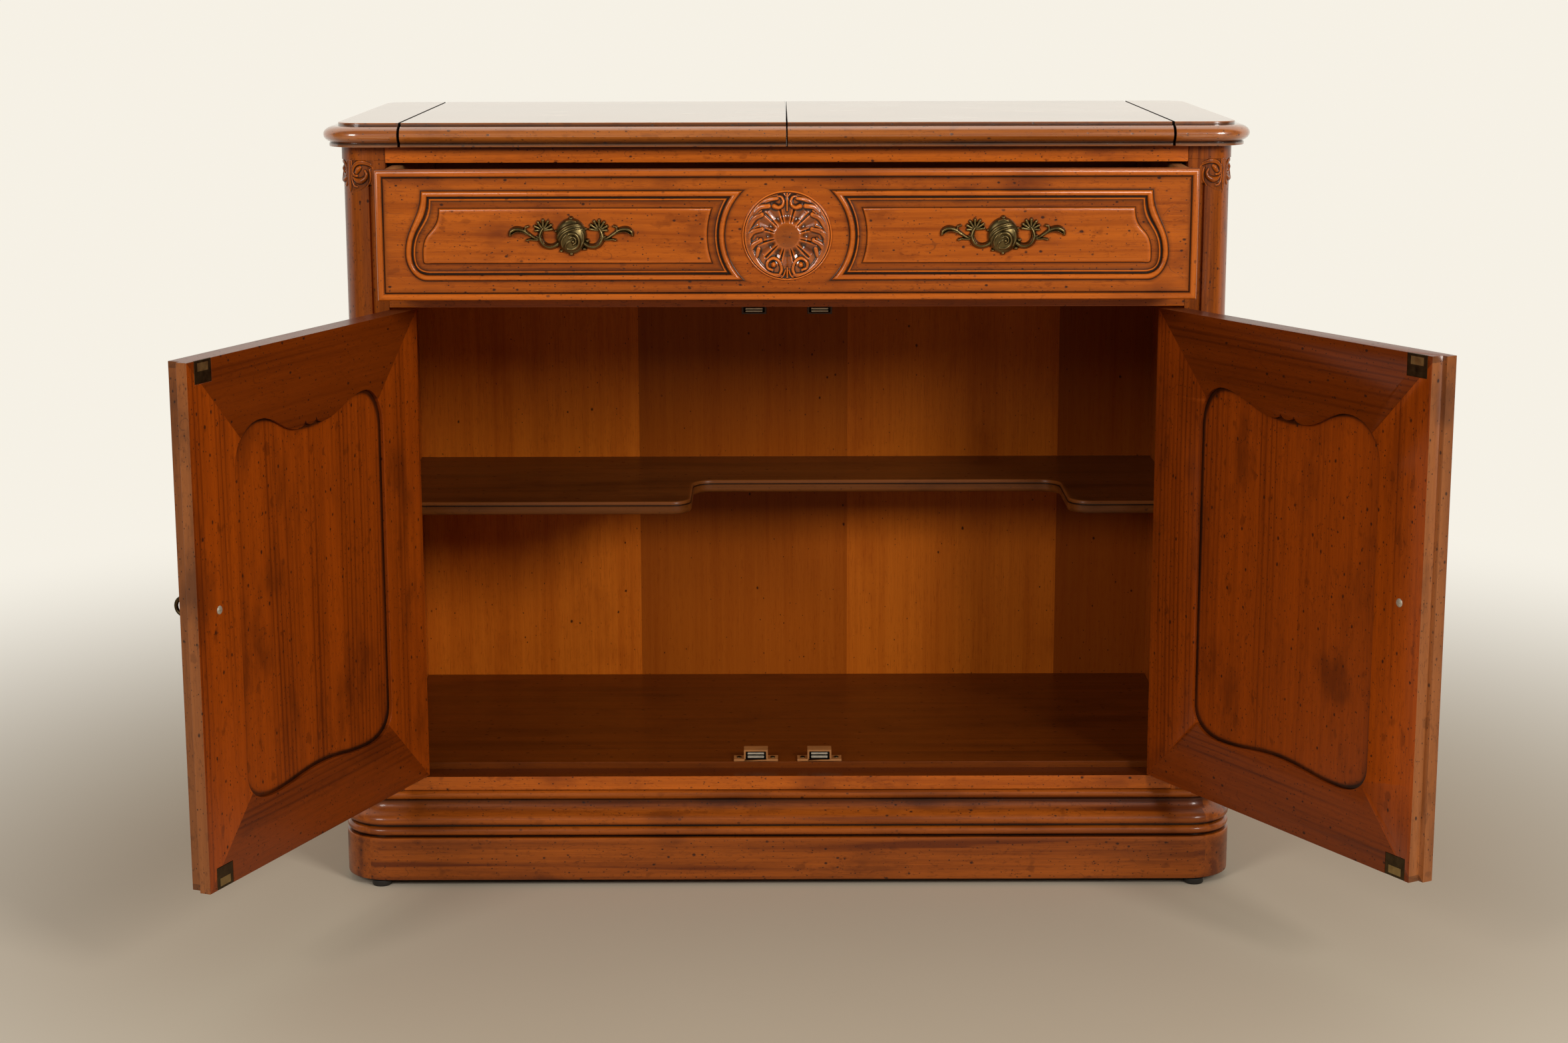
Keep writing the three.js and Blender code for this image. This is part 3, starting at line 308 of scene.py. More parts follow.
def bend(start, handle_out, handle_in, end, steps):
    """Points of a cubic curve after its start, so stretches can follow each other."""
    points = [np.array(point, float) for point in (start, handle_out, handle_in, end)]
    made = []
    for step in range(1, steps + 1):
        t = step / steps
        weights = ((1 - t) ** 3, 3 * t * (1 - t) ** 2, 3 * t * t * (1 - t), t ** 3)
        made.append(tuple(sum(w * p for w, p in zip(weights, points))))
    return made


def follow(points, curves):
    """The points and what follows them: curves by their two handles, end and steps."""
    for handle_out, handle_in, end, steps in curves:
        points = points + bend(points[-1], handle_out, handle_in, end, steps)
    return points


# Grain: each board has its own place in the log, with X along the fibres

ALONG = {
    "X": Matrix(((1, 0, 0), (0, 0, 1), (0, 1, 0))),
    "Y": Matrix(((0, 1, 0), (1, 0, 0), (0, 0, 1))),
    "Z": Matrix(((0, 0, 1), (1, 0, 0), (0, 1, 0))),
}
LOG_REACH = 9


def lay_grain(piece, *boards, which=None, log=None):
    """Gives each face its board's grain. A board is the axis of its fibres, or an axis and a tone."""
    mesh = piece.data
    corners = mesh_values(mesh.loops, "vertex_index", np.int32)
    places = mesh_values(mesh.vertices, "co", np.float32, 3)[corners]
    centres = mesh_values(mesh.polygons, "center", np.float32, 3)
    chosen = np.zeros(len(centres), int) if which is None else np.array([which(Vector(c)) for c in centres])
    chosen = np.repeat(chosen, mesh_values(mesh.polygons, "loop_total", np.int32))
    grain = np.zeros_like(places)
    tone = np.zeros(len(places), np.float32)
    luck = random.Random(log or piece.name)
    for index, board in enumerate(boards):
        axis, shift = board if isinstance(board, tuple) else (board, 0)
        own = chosen == index
        offset = np.array([luck.uniform(-LOG_REACH, LOG_REACH) for _ in range(3)])
        grain[own] = places[own] @ np.array(ALONG[axis]).T + offset
        tone[own] = shift
    mesh.attributes.new("grain", "FLOAT_VECTOR", "CORNER").data.foreach_set("vector", grain.reshape(-1))
    mesh.attributes.new("tone", "FLOAT", "CORNER").data.foreach_set("value", tone)


# Materials

class Nodes:
    """The nodes of a material or of the world, added and joined by short calls."""

    def __init__(self, tree):
        self.tree = tree

    def add(self, kind, inputs=None, **settings):
        node = self.tree.nodes.new("ShaderNode" + kind)
        for name, value in settings.items():
            setattr(node, name, value)
        for name, value in (inputs or {}).items():
            self.feed(node.inputs[name], value)
        return node

    def feed(self, socket, value):
        if isinstance(value, bpy.types.NodeSocket):
            self.tree.links.new(value, socket)
        else:
            socket.default_value = value

    def math(self, operation, *values, clamp=False):
        node = self.add("Math", operation=operation, use_clamp=clamp)
        for socket, value in zip(node.inputs, values):
            self.feed(socket, value)
        return node.outputs[0]

    def mix(self, share, first, second):
        node = self.add("Mix", data_type="RGBA")
        self.feed(node.inputs["Factor"], share)
        self.feed(node.inputs[6], first)
        self.feed(node.inputs[7], second)
        return node.outputs[2]

    def ramp(self, value, low, high, to_low=0.0, to_high=1.0):
        node = self.add("MapRange", {"Value": value, "From Min": low, "From Max": high,
                                     "To Min": to_low, "To Max": to_high}, interpolation_type="SMOOTHSTEP")
        return node.outputs["Result"]

    def attribute(self, name, output="Fac"):
        return self.add("Attribute", attribute_name=name).outputs[output]

    def place(self):
        return self.add("TexCoord").outputs["Object"]

    def noise(self, coordinates, scale, detail, roughness=0.5):
        mapped = self.add("Mapping", {"Vector": coordinates, "Scale": scale}).outputs[0]
        node = self.add("TexNoise", {"Vector": mapped, "Scale": 1.0, "Detail": detail,
                                     "Roughness": roughness})
        return node.outputs["Fac"]

    def specks(self, coordinates, cell, radius, share=1.0):
        """Scattered round specks, in millimetres: a share of the cells has one, each of its own size."""
        scale = 1 / (cell * MM)
        wobble = self.noise(coordinates, (scale * 4,) * 3, 2.0)
        node = self.add("TexVoronoi", {"Vector": coordinates, "Scale": scale, "Randomness": 1.0})
        luck = self.add("SeparateColor", {"Color": node.outputs["Color"]}).outputs
        has_one = self.math("LESS_THAN", luck[1], share)
        size = self.math("MULTIPLY", self.math("ADD", luck[0], 0.3), radius / cell)
        size = self.math("MULTIPLY", size, self.math("ADD", wobble, 0.5))
        edge = self.math("DIVIDE", node.outputs["Distance"], size)
        return self.math("MULTIPLY", self.ramp(edge, 1.0, 0.4), has_one)

    def line(self, value, width):
        """Thin lines where a noise passes its middle value."""
        off = self.math("ABSOLUTE", self.math("SUBTRACT", value, 0.5))
        return self.ramp(off, width, 0.3 * width)


class Shader(Nodes):
    """A material with its surface shader."""

    def __init__(self, name):
        self.material = bpy.data.materials.new(name)
        self.material.use_nodes = True
        super().__init__(self.material.node_tree)
        self.surface = self.tree.nodes["Principled BSDF"]

    def set(self, **inputs):
        for name, value in inputs.items():
            self.feed(self.surface.inputs[name.replace("_", " ")], value)

    def emboss(self, height, strength, distance):
        bump = self.add("Bump", {"Height": height, "Strength": strength, "Distance": distance * MM})
        self.set(Normal=bump.outputs[0])


def seen(red, green, blue):
    """Linear colour of a tint given as 0 to 255 on a screen."""
    def linear(value):
        share = value / 255
        return share / 12.92 if share <= 0.04045 else ((share + 0.055) / 1.055) ** 2.4
    return (linear(red), linear(green), linear(blue), 1.0)


# Tints of the glaze with painted shade in the hollows, and of the specks
GLAZE_AND_SHADE_TINT = (30, 12, 4)
SPECK = (42, 14, 3)

# Waves in a metre of each of the wood's patterns, along the fibres and across them
BANDS = (1.3, 34, 34)
STREAKS = (3.2, 150, 150)
FINE_LINES = (20, 760, 760)
PORES = (60, 1500, 1500)
CLOUDS = (8, 17, 17)
RING_WAVES = (1.0, 8, 8)
SMUDGES = (45, 70, 70)
DIRT = (170, 420, 420)
DIRTY_PLACES = (25, 60, 60)
SCRATCHES = (22, 40, 40)
SCRATCHED_PLACES = (30, 34, 34)


def wood(name, light, dark, mottled, gloss, flecks=1.0, figure=1.0, clouds=1.0, rings=0.3, ring_pitch=10.0):
    """Stained wood: bands, streaks, rings and pores under a mottled glaze, with specks and small marks.
    Hollows take glaze with painted shade, ridges wear with a painted highlight.
    """
    s = Shader(name)
    grain = s.attribute("grain", "Vector")
    shade = s.attribute("shade")
    tone = s.attribute("tone")
    band = s.noise(grain, BANDS, 2.0, 0.5)
    streak = s.noise(grain, STREAKS, 4.0, 0.66)
    fine = s.noise(grain, FINE_LINES, 2.0, 0.6)
    pore = s.ramp(s.noise(grain, PORES, 1.0, 0.4), 0.62, 0.74)
    cloud = s.noise(grain, CLOUDS, 4.0, 0.6)
    bend_of_rings = s.noise(grain, RING_WAVES, 1.0)
    across = s.add("SeparateXYZ", {"Vector": grain}).outputs[1]
    per_metre = 4 * QUARTER / (ring_pitch * MM)
    phase = s.math("ADD", s.math("MULTIPLY", across, per_metre), s.math("MULTIPLY", bend_of_rings, 38.0))
    phase = s.math("ADD", phase, s.math("MULTIPLY", streak, 4.0))
    ring = s.math("POWER", s.ramp(s.math("SINE", phase), -1.0, 1.0), 4.0)
    ring = s.math("MULTIPLY", ring, s.ramp(band, 0.42, 0.62))
    total = s.math("MULTIPLY", ring, rings * figure)
    for layer, low, high, weight in (
            (band, 0.34, 0.68, 0.34), (streak, 0.34, 0.7, 0.42), (fine, 0.3, 0.8, 0.24)):
        total = s.math("ADD", total, s.math("MULTIPLY", s.ramp(layer, low, high), weight * figure))
    colours = s.mix(s.math("MULTIPLY", total, 1.0, clamp=True), seen(*light), seen(*dark))
    smudge = s.ramp(s.noise(grain, SMUDGES, 2.0), 0.64, 0.72)
    patch = s.math("MAXIMUM", s.math("MULTIPLY", s.ramp(cloud, 0.5, 0.74), 0.8 * clouds),
                   s.math("MULTIPLY", smudge, 0.4 * flecks))
    deeper = s.math("MULTIPLY", s.math("MINIMUM", tone, 0.0), -2.0, clamp=True)
    colours = s.mix(s.math("MAXIMUM", patch, deeper), colours, seen(*mottled))
    colours = s.mix(s.math("MULTIPLY", pore, 0.4), colours, seen(*mottled))
    colours = s.add("HueSaturation", {"Color": colours, "Value": s.math("ADD", tone, 1.0)}).outputs[0]
    stretched = s.add("Mapping", {"Vector": grain, "Scale": (0.72, 1.0, 1.0)}).outputs[0]
    speck = s.math("MAXIMUM", s.specks(stretched, 9.0, 1.5, 0.9 * flecks),
                   s.specks(stretched, 3.6, 0.72, flecks))
    dirt = s.math("MULTIPLY", s.ramp(s.noise(grain, DIRT, 4.0, 0.66), 0.52, 0.72),
                  s.ramp(s.noise(grain, DIRTY_PLACES, 2.0), 0.35, 0.65))
    colours = s.mix(s.math("MULTIPLY", dirt, 0.75 * clouds), colours, seen(*mottled))
    scratch = s.math("MULTIPLY", s.line(s.noise(grain, SCRATCHES, 1.0), 0.006),
                     s.ramp(s.noise(grain, SCRATCHED_PLACES, 1.0), 0.6, 0.66))
    mark = s.math("MAXIMUM", speck, s.math("MULTIPLY", scratch, 0.4 * flecks))
    colours = s.mix(s.math("MULTIPLY", mark, 0.9), colours, seen(*SPECK))
    # The shade attribute darkens hollows to the glaze tint, as glaze with painted shade, and lightens ridges,
    # as wear with a painted highlight.
    uneven = s.math("ADD", s.math("MULTIPLY", cloud, 0.7), 0.65)
    hollow = s.math("MULTIPLY", s.math("MAXIMUM", shade, 0.0), uneven, clamp=True)
    wear_and_painted_highlight = s.math("MULTIPLY", s.math("MAXIMUM", s.math("MULTIPLY", shade, -1.0), 0.0), 0.6, clamp=True)
    colours = s.mix(wear_and_painted_highlight, colours, seen(*[min(255, value * 1.2 + 8) for value in light]))
    colours = s.mix(hollow, colours, seen(*GLAZE_AND_SHADE_TINT))
    rough = s.math("ADD", s.math("MULTIPLY", cloud, 0.2), gloss - 0.1)
    rough = s.math("ADD", rough, s.math("MULTIPLY", mark, 0.2))
    height = s.math("ADD", s.math("MULTIPLY", fine, 0.35), s.math("MULTIPLY", streak, 0.5))
    height = s.math("SUBTRACT", height, s.math("MULTIPLY", mark, 0.9))
    height = s.math("SUBTRACT", height, s.math("MULTIPLY", pore, 0.35))
    s.emboss(height, 0.35, 0.25)
    s.set(Base_Color=colours, Roughness=rough)
    return s


def polished(s, weight, roughness, specular):
    """A clear coat over the colour."""
    s.surface.inputs["Coat Weight"].default_value = weight
    s.surface.inputs["Coat Roughness"].default_value = roughness
    s.surface.inputs["Specular IOR Level"].default_value = specular
    return s.material


def metal(name, dark, bright, roughness, worn_share, metallic):
    """Patinated metal: dark in the hollows, rubbed bright on the ridges, with clouds and fine scratches."""
    s = Shader(name)
    place = s.place()
    shade = s.attribute("shade")
    cloud = s.noise(place, (140, 140, 140), 4.0, 0.6)
    scratch = s.noise(place, (900, 2600, 900), 2.0, 0.5)
    rub = s.math("ADD", s.math("MULTIPLY", shade, -0.75), worn_share)
    rub = s.math("ADD", rub, s.math("MULTIPLY", s.math("SUBTRACT", cloud, 0.5), 0.9), clamp=True)
    colours = s.mix(rub, seen(*dark), seen(*bright))
    rough = s.math("ADD", s.math("MULTIPLY", cloud, 0.25), roughness - 0.12)
    rough = s.math("ADD", rough, s.math("MULTIPLY", s.math("MAXIMUM", shade, 0.0), 0.25), clamp=True)
    height = s.math("ADD", s.math("MULTIPLY", cloud, 0.6), s.math("MULTIPLY", scratch, 0.25))
    s.emboss(height, 0.3, 0.15)
    s.set(Base_Color=colours, Roughness=rough)
    s.surface.inputs["Metallic"].default_value = metallic
    return s.material


def moulded_plastic(name, tint, roughness):
    s = Shader(name)
    place = s.place()
    cloud = s.noise(place, (60, 60, 60), 4.0, 0.6)
    pitted = s.noise(place, (2200, 2200, 2200), 2.0, 0.6)
    darker = [value * 0.72 for value in tint]
    s.emboss(pitted, 0.25, 0.1)
    s.set(Base_Color=s.mix(cloud, seen(*tint), seen(*darker)),
          Roughness=s.math("ADD", s.math("MULTIPLY", cloud, 0.2), roughness - 0.1))
    return s.material


# Woods: the material's name, its light, dark and mottled tints, or none where the sidebar gives them,
# its figure, and its coat as weight, roughness and the specular level under it
WOODS = {
    "cherry": ("Cherry, glazed", None, {"gloss": 0.36, "figure": 0.85}, (0.4, 0.13, 0.22)),
    "cherry_side": ("Cherry of the sides", None, {"gloss": 0.36, "figure": 0.85, "clouds": 0.45},
                    (0.4, 0.13, 0.22)),
    "cherry_carved": ("Cherry, carved", None, {"gloss": 0.3, "flecks": 0.5, "figure": 0.6},
                      (1.0, 0.09, 0.35)),
    "cherry_base": ("Cherry of the base", ((170, 86, 20), (104, 44, 6), (78, 30, 3)),
                    {"gloss": 0.36, "rings": 0.8, "ring_pitch": 17.0}, (0.4, 0.13, 0.25)),
    "cherry_post": ("Cherry of the posts", ((184, 92, 16), (110, 48, 4), (84, 35, 2)),
                    {"gloss": 0.36}, (0.35, 0.13, 0.2)),
    "shelf": ("Shelf, dark cherry", ((118, 64, 22), (82, 42, 10), (66, 31, 6)),
              {"gloss": 0.42, "flecks": 0.25}, (0.12, 0.2, 0.2)),
    "cherry_top": ("Cherry, polished top", ((196, 112, 40), (150, 76, 20), (118, 56, 14)),
                   {"gloss": 0.3}, (1.0, 0.07, 1.0)),
    "cherry_door": ("Cherry, inside of the doors", ((170, 74, 6), (98, 36, 2), (74, 26, 1)),
                    {"gloss": 0.4, "figure": 0.62, "clouds": 0.72, "rings": 0.6, "ring_pitch": 7.0},
                    (0.3, 0.2, 0.2)),
    # The edge finish is greyer: a painted reflection of the pale wall on the doors' meeting edges
    "cherry_edge_reflection": ("Cherry, worn edges of the doors", ((156, 92, 44), (116, 60, 22), (84, 42, 14)),
                    {"gloss": 0.4, "figure": 0.7}, (0.5, 0.2, 0.35)),
    "cherry_inside": ("Cherry veneer", ((200, 106, 24), (158, 70, 8), (128, 46, 2)),
                      {"gloss": 0.42, "flecks": 0.15, "figure": 0.6, "clouds": 0.4, "rings": 0.2},
                      (0.06, 0.25, 0.06)),
    "cherry_dark": ("Dark cherry", ((116, 54, 8), (84, 36, 3), (66, 26, 2)),
                    {"gloss": 0.42, "flecks": 0.3, "clouds": 0.6}, (0.2, 0.22, 0.15)),
    # The drawer wood is a light stain, lightened further as painted light where the frieze shades it
    "drawer_wood": ("Stained drawer wood", ((196, 142, 88), (156, 104, 58), (136, 84, 42)),
                    {"gloss": 0.5, "flecks": 0.2}, (0.1, 0.3, 0.35)),
    # A dark matte finish for the seam faces: a painted shade in the gaps between slices
    "seam": ("Dark glaze in the seams", ((40, 18, 7), (28, 12, 4), (22, 9, 3)),
             {"gloss": 0.7, "flecks": 0.2}, (0.0, 0.3, 0.1)),
}
TOP_COAT_IOR = 1.75

# Metals: the material's name, its dark and bright tints, its roughness, its rubbed share and how metallic
METALS = {
    "brass": ("Antique brass", (24, 19, 10), (150, 130, 84), 0.36, 0.5, 1.0),
    "worn_brass": ("Rubbed brass", (96, 78, 42), (190, 166, 110), 0.4, 0.7, 1.0),
    "bronze": ("Dark bronze", (34, 28, 22), (112, 94, 62), 0.42, 0.4, 1.0),
    "steel": ("Dull steel", (110, 100, 86), (226, 216, 196), 0.42, 0.6, 0.4),
}

# Plastics: the material's name, its tint and its roughness
PLASTICS = {
    "plastic": ("Tan catch housing", (186, 122, 66), 0.4),
    "dark_plastic": ("Brown catch housing", (66, 36, 14), 0.5),
    # The slot finish darkens the inner faces of a catch's pocket, a painted shade
    "slot": ("Dark slot", (22, 15, 9), 0.6),
    "glide": ("Dark glide", (38, 34, 30), 0.55),
}

FINISHES = {}


def finish(kind):
    """The cabinet's finishes, each made the first time that a piece asks for it."""
    if kind not in FINISHES:
        FINISHES[kind] = make_finish(kind)
    return FINISHES[kind]


def make_finish(kind):
    if kind in METALS:
        return metal(*METALS[kind])
    if kind in PLASTICS:
        return moulded_plastic(*PLASTICS[kind])
    name, tints, figure, coat = WOODS[kind]
    if tints is None:
        chosen = bpy.context.scene.cabinet_colours
        tints = [[round(255 * v) for v in tint] for tint in (chosen.cherry, chosen.streak, chosen.mottle)]
    s = wood(name, *tints, **figure)
    if kind == "cherry_top":
        s.surface.inputs["Coat IOR"].default_value = TOP_COAT_IOR
    return polished(s, *coat)


def refinish(piece, kind, inside):
    """Gives the faces whose middle the test finds another finish."""
    piece.data.materials.append(finish(kind))
    for face in piece.data.polygons:
        if inside(face.center):
            face.material_index = 1


# Sizes and colours that a user would change

class CabinetSizes(bpy.types.PropertyGroup):
    edge_round: bpy.props.FloatProperty(
        name="Edge rounding", description="Width of the rounded edges of the plain boards", default=0.8 * MM,
        min=0.0, unit="LENGTH")
    lamp_strength: bpy.props.FloatProperty(
        name="Lamp strength", description="Power of each of the two soft lamps", default=42.0, min=0.0,
        unit="POWER")


class CabinetColours(bpy.types.PropertyGroup):
    cherry: bpy.props.FloatVectorProperty(
        name="Cherry", description="Lightest colour of the polished wood", subtype="COLOR_GAMMA",
        default=(0.79, 0.405, 0.09), min=0.0, max=1.0)
    streak: bpy.props.FloatVectorProperty(
        name="Streaks", description="Colour of the streaks and growth rings", subtype="COLOR_GAMMA",
        default=(0.59, 0.265, 0.04), min=0.0, max=1.0)
    mottle: bpy.props.FloatVectorProperty(
        name="Mottling", description="Colour of the darker patches", subtype="COLOR_GAMMA",
        default=(0.44, 0.175, 0.02), min=0.0, max=1.0)
    floor: bpy.props.FloatVectorProperty(
        name="Floor", description="Colour of the studio floor", subtype="COLOR_GAMMA",
        default=(0.8, 0.75, 0.67), min=0.0, max=1.0)
    backdrop: bpy.props.FloatVectorProperty(
        name="Backdrop", description="Colour behind the cabinet", subtype="COLOR_GAMMA",
        default=(0.965, 0.945, 0.9), min=0.0, max=1.0)


# Studio

FLOOR_REACH = 120.0
FLOOR_BOUNCE = (150, 128, 98)
FADE_FROM = 0.5
FADE_TO = 2.0
ROOM_IN_FRONT = 0.05
LIGHT_FROM_SIDE = 0.2
LIGHT_FROM_ABOVE = 1.0
AMBIENT_TINT = (172, 166, 156)
LAMP_PLACE = (1.75, -2.5, 1.66)
LEFT_SHARE = 0.74
RIGHT_SHARE = 1.26
LAMP_AIM = (0, 0, 0.45)
LAMP_SIZE = 0.85
LAMP_TINT = (1.0, 0.97, 0.93)
CAMERA_PLACE = (-27.8, -2733.9, 940.3)
CAMERA_LENS = 63.12
CAMERA_PITCH = 11.648
CAMERA_YAW = -0.106
CAMERA_ROLL = -0.11


class MakeStage(bpy.types.Operator):
    """Adds the floor, the world, the lamps and the camera"""

    bl_idname = "cabinet.stage"
    bl_label = "Studio"

    def execute(self, context):
        scene = context.scene
        scene.view_settings.view_transform = "Standard"
        tints = scene.cabinet_colours
        backdrop = seen(*[255 * value for value in tints.backdrop])
        self.add_floor(seen(*[255 * value for value in tints.floor]), backdrop)
        self.light_world(scene, backdrop)
        self.add_lamps(scene.cabinet_sizes.lamp_strength)
        self.add_camera(scene)
        return {"FINISHED"}

    def add_floor(self, tint, backdrop):
        """A wide floor that goes over into the backdrop far behind and beside the cabinet."""
        bpy.ops.mesh.primitive_plane_add(size=FLOOR_REACH, location=(0, 0, 0))
        floor = bpy.context.object
        floor.name = "studio_floor"
        s = Shader("Studio floor")
        path = s.add("LightPath").outputs
        place = s.place()
        cloud = s.noise(place, (3, 3, 3), 4.0)
        shown = s.mix(s.math("MULTIPLY", cloud, 0.1), tint, seen(*FLOOR_BOUNCE))
        s.set(Base_Color=s.mix(path["Is Diffuse Ray"], shown, seen(*FLOOR_BOUNCE)), Roughness=0.8)
        away = s.add("VectorMath", {0: place}, operation="LENGTH").outputs["Value"]
        far = s.ramp(away, FADE_FROM, FADE_TO)
        glow = s.add("Emission", {"Color": backdrop, "Strength": 1.0})
        behind = s.ramp(s.add("SeparateXYZ", {0: place}).outputs[1], -0.4, 0.6)
        direct = s.math("MAXIMUM", s.math("MAXIMUM", path["Is Camera Ray"], path["Is Transmission Ray"]),
                        s.math("MULTIPLY", path["Is Glossy Ray"], behind))
        mixed = s.add("MixShader", {0: s.math("MULTIPLY", far, direct), 1: s.surface.outputs[0],
                                    2: glow.outputs[0]})
        s.tree.links.new(mixed.outputs[0], s.tree.nodes["Material Output"].inputs[0])
        floor.data.materials.append(s.material)

    def light_world(self, scene, backdrop):
        """The camera sees the backdrop; polish mirrors a pale wall behind and a dim room in front."""
        world = bpy.data.worlds.new("Studio")
        scene.world = world
        world.use_nodes = True
        s = Nodes(world.node_tree)
        path = s.add("LightPath").outputs
        direction = s.add("SeparateXYZ", {0: s.add("TexCoord").outputs["Generated"]}).outputs
        wall = s.ramp(direction[1], -0.1, 0.3, ROOM_IN_FRONT, 1.0)
        mirrored = s.mix(wall, (0, 0, 0, 1), backdrop)
        above = s.ramp(direction[2], -0.1, 0.9, LIGHT_FROM_SIDE, LIGHT_FROM_ABOVE)
        ambient = s.mix(above, (0, 0, 0, 1), seen(*AMBIENT_TINT))
        lit = s.mix(path["Is Glossy Ray"], ambient, mirrored)
        direct = s.math("MAXIMUM", path["Is Camera Ray"], path["Is Transmission Ray"])
        s.feed(s.tree.nodes["Background"].inputs["Color"], s.mix(direct, lit, backdrop))

    def add_lamps(self, strength):
        for name, side, share in (("left_softbox", -1, LEFT_SHARE), ("right_softbox", 1, RIGHT_SHARE)):
            place = Vector((side * LAMP_PLACE[0], LAMP_PLACE[1], LAMP_PLACE[2]))
            bpy.ops.object.light_add(type="AREA", location=place)
            lamp = bpy.context.object
            lamp.name = name
            lamp.data.shape = "SQUARE"
            lamp.data.size = LAMP_SIZE
            lamp.data.energy = strength * share
            lamp.data.color = LAMP_TINT
            lamp.rotation_euler = (Vector(LAMP_AIM) - place).to_track_quat("-Z", "Y").to_euler()

    def add_camera(self, scene):
        bpy.ops.object.camera_add(location=Vector(CAMERA_PLACE) * MM)
        camera = bpy.context.object
        camera.name = "photo_camera"
        camera.data.sensor_width = 36.0
        camera.data.sensor_fit = "HORIZONTAL"
        camera.data.lens = CAMERA_LENS
        turn = (Matrix.Rotation(math.radians(CAMERA_YAW), 3, "Z")
                @ Matrix.Rotation(math.radians(90 - CAMERA_PITCH), 3, "X")
                @ Matrix.Rotation(math.radians(CAMERA_ROLL), 3, "Z"))
        camera.rotation_euler = turn.to_euler()
        scene.camera = camera


# Carved relief: strokes laid on a ground and raised from it

PATH_STEPS = 7


def smooth_path(points):
    """A smooth run of places, half widths and heights through the ones given."""
    points = np.array(points, float)
    padded = np.vstack([2 * points[0] - points[1], points, 2 * points[-1] - points[-2]])
    made = [points[0]]
    for before, start, end, after in zip(padded, padded[1:], padded[2:], padded[3:]):
        slope = end - before
        curve = 2 * before - 5 * start + 4 * end - after
        twist = 3 * start - before - 3 * end + after
        for step in range(1, PATH_STEPS + 1):
            t = step / PATH_STEPS
            made.append(0.5 * (2 * start + slope * t + curve * t * t + twist * t ** 3))
    return np.array(made)


def stroke(a, b, points, crease=0.0):
    """Height of a rounded stroke over each place, and below zero outside it."""
    path = smooth_path(points)
    reach = path[:, 2].max() * 1.6
    near = ((a > path[:, 0].min() - reach) & (a < path[:, 0].max() + reach)
            & (b > path[:, 1].min() - reach) & (b < path[:, 1].max() + reach))
    best = np.full(a.shape, -1.0)
    pa, pb = a[near], b[near]
    top = np.full(pa.shape, -1.0)
    for start, end in zip(path[:-1], path[1:]):
        da, db = end[0] - start[0], end[1] - start[1]
        t = np.clip(((pa - start[0]) * da + (pb - start[1]) * db) / (da * da + db * db + 1e-9), 0, 1)
        away = np.hypot(pa - start[0] - t * da, pb - start[1] - t * db)
        share = away / np.maximum(start[2] + t * (end[2] - start[2]), 0.05)
        rise = (start[3] + t * (end[3] - start[3])) * (1 - share ** 2)
        if crease:
            rise = rise - crease * np.exp(-(share / 0.3) ** 2)
        top = np.maximum(top, rise)
    best[near] = top
    return best


def cells(across, up, columns, rows):
    """Places of a sheet's cells across and up, as two lists in the sheet's order."""
    grids = np.meshgrid(np.linspace(*across, columns), np.linspace(*up, rows))
    return [grid.reshape(-1) for grid in grids]


def hollows(height, columns, rows, depth, rounds):
    """Where the relief lies below its surroundings, from 1 in a hollow to -1 on a ridge."""
    field = height.reshape(rows, columns)
    blurred = field.copy()
    for _ in range(rounds):
        grown = np.pad(blurred, 1, mode="edge")
        blurred = (grown[:-2, 1:-1] + grown[2:, 1:-1] + grown[1:-1, :-2] + grown[1:-1, 2:] + blurred) / 5
    return np.clip((blurred - field) / depth, -1, 1).reshape(-1)


def add_relief(name, columns, rows, places, shade, buried):
    """A carved sheet of the given places, without the faces that lie buried in the ground."""
    piece = add_grid(name, columns, rows, places)
    mesh = piece.data
    keep_shade(piece, shade)
    deep = buried[mesh_values(mesh.loops, "vertex_index", np.int32)].reshape(-1, 4).all(axis=1)
    edit(piece)
    bpy.ops.mesh.select_all(action="DESELECT")
    leave_edit()
    mesh.polygons.foreach_set("select", deep)
    edit(piece)
    bpy.ops.mesh.delete(type="FACE")
    leave_edit()
    return piece


def close_back(piece, move, flat_y=None):
    """Thickens a carved sheet backwards into a closed piece, with a flat back where one is asked for."""
    edit(piece)
    bpy.ops.mesh.select_all(action="SELECT")
    bpy.ops.mesh.extrude_region_move(TRANSFORM_OT_translate={"value": move})
    if flat_y is not None:
        bpy.ops.transform.resize(value=(1, 0, 1), center_override=(0, flat_y, 0))
        bpy.ops.mesh.delete(type="FACE")
        bpy.ops.mesh.select_mode(type="EDGE")
        bpy.ops.mesh.select_non_manifold()
        bpy.ops.mesh.fill(use_beauty=False)
        bpy.ops.mesh.select_mode(type="FACE")
    face_outwards()
    leave_edit()
    smooth(piece, 65)
    return piece


# Plain boards of the case

# The frieze rail is lightened: a painted light where the top's overhang shades it
FRIEZE_PAINTED_LIGHT = 0.35
# The top face of the bottom rail is darker than its front
LEDGE_DARKENED = -0.45


def edge_round():
    """Width of the rounded edges of the plain boards, in millimetres."""
    return bpy.context.scene.cabinet_sizes.edge_round / MM


def finish_copy(node, slot, kind, *boards, width=None, which=None):
    """Finishes a copy of a CAD node: rounded edges, grain and finish. The slot is not used."""
    piece = copy_of(node, node + "_finished")
    round_edges(piece, edge_round() if width is None else width)
    lay_grain(piece, *boards, which=which)
    ready(piece, frame["nodes"][node]["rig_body"], slot, finish(kind), node)


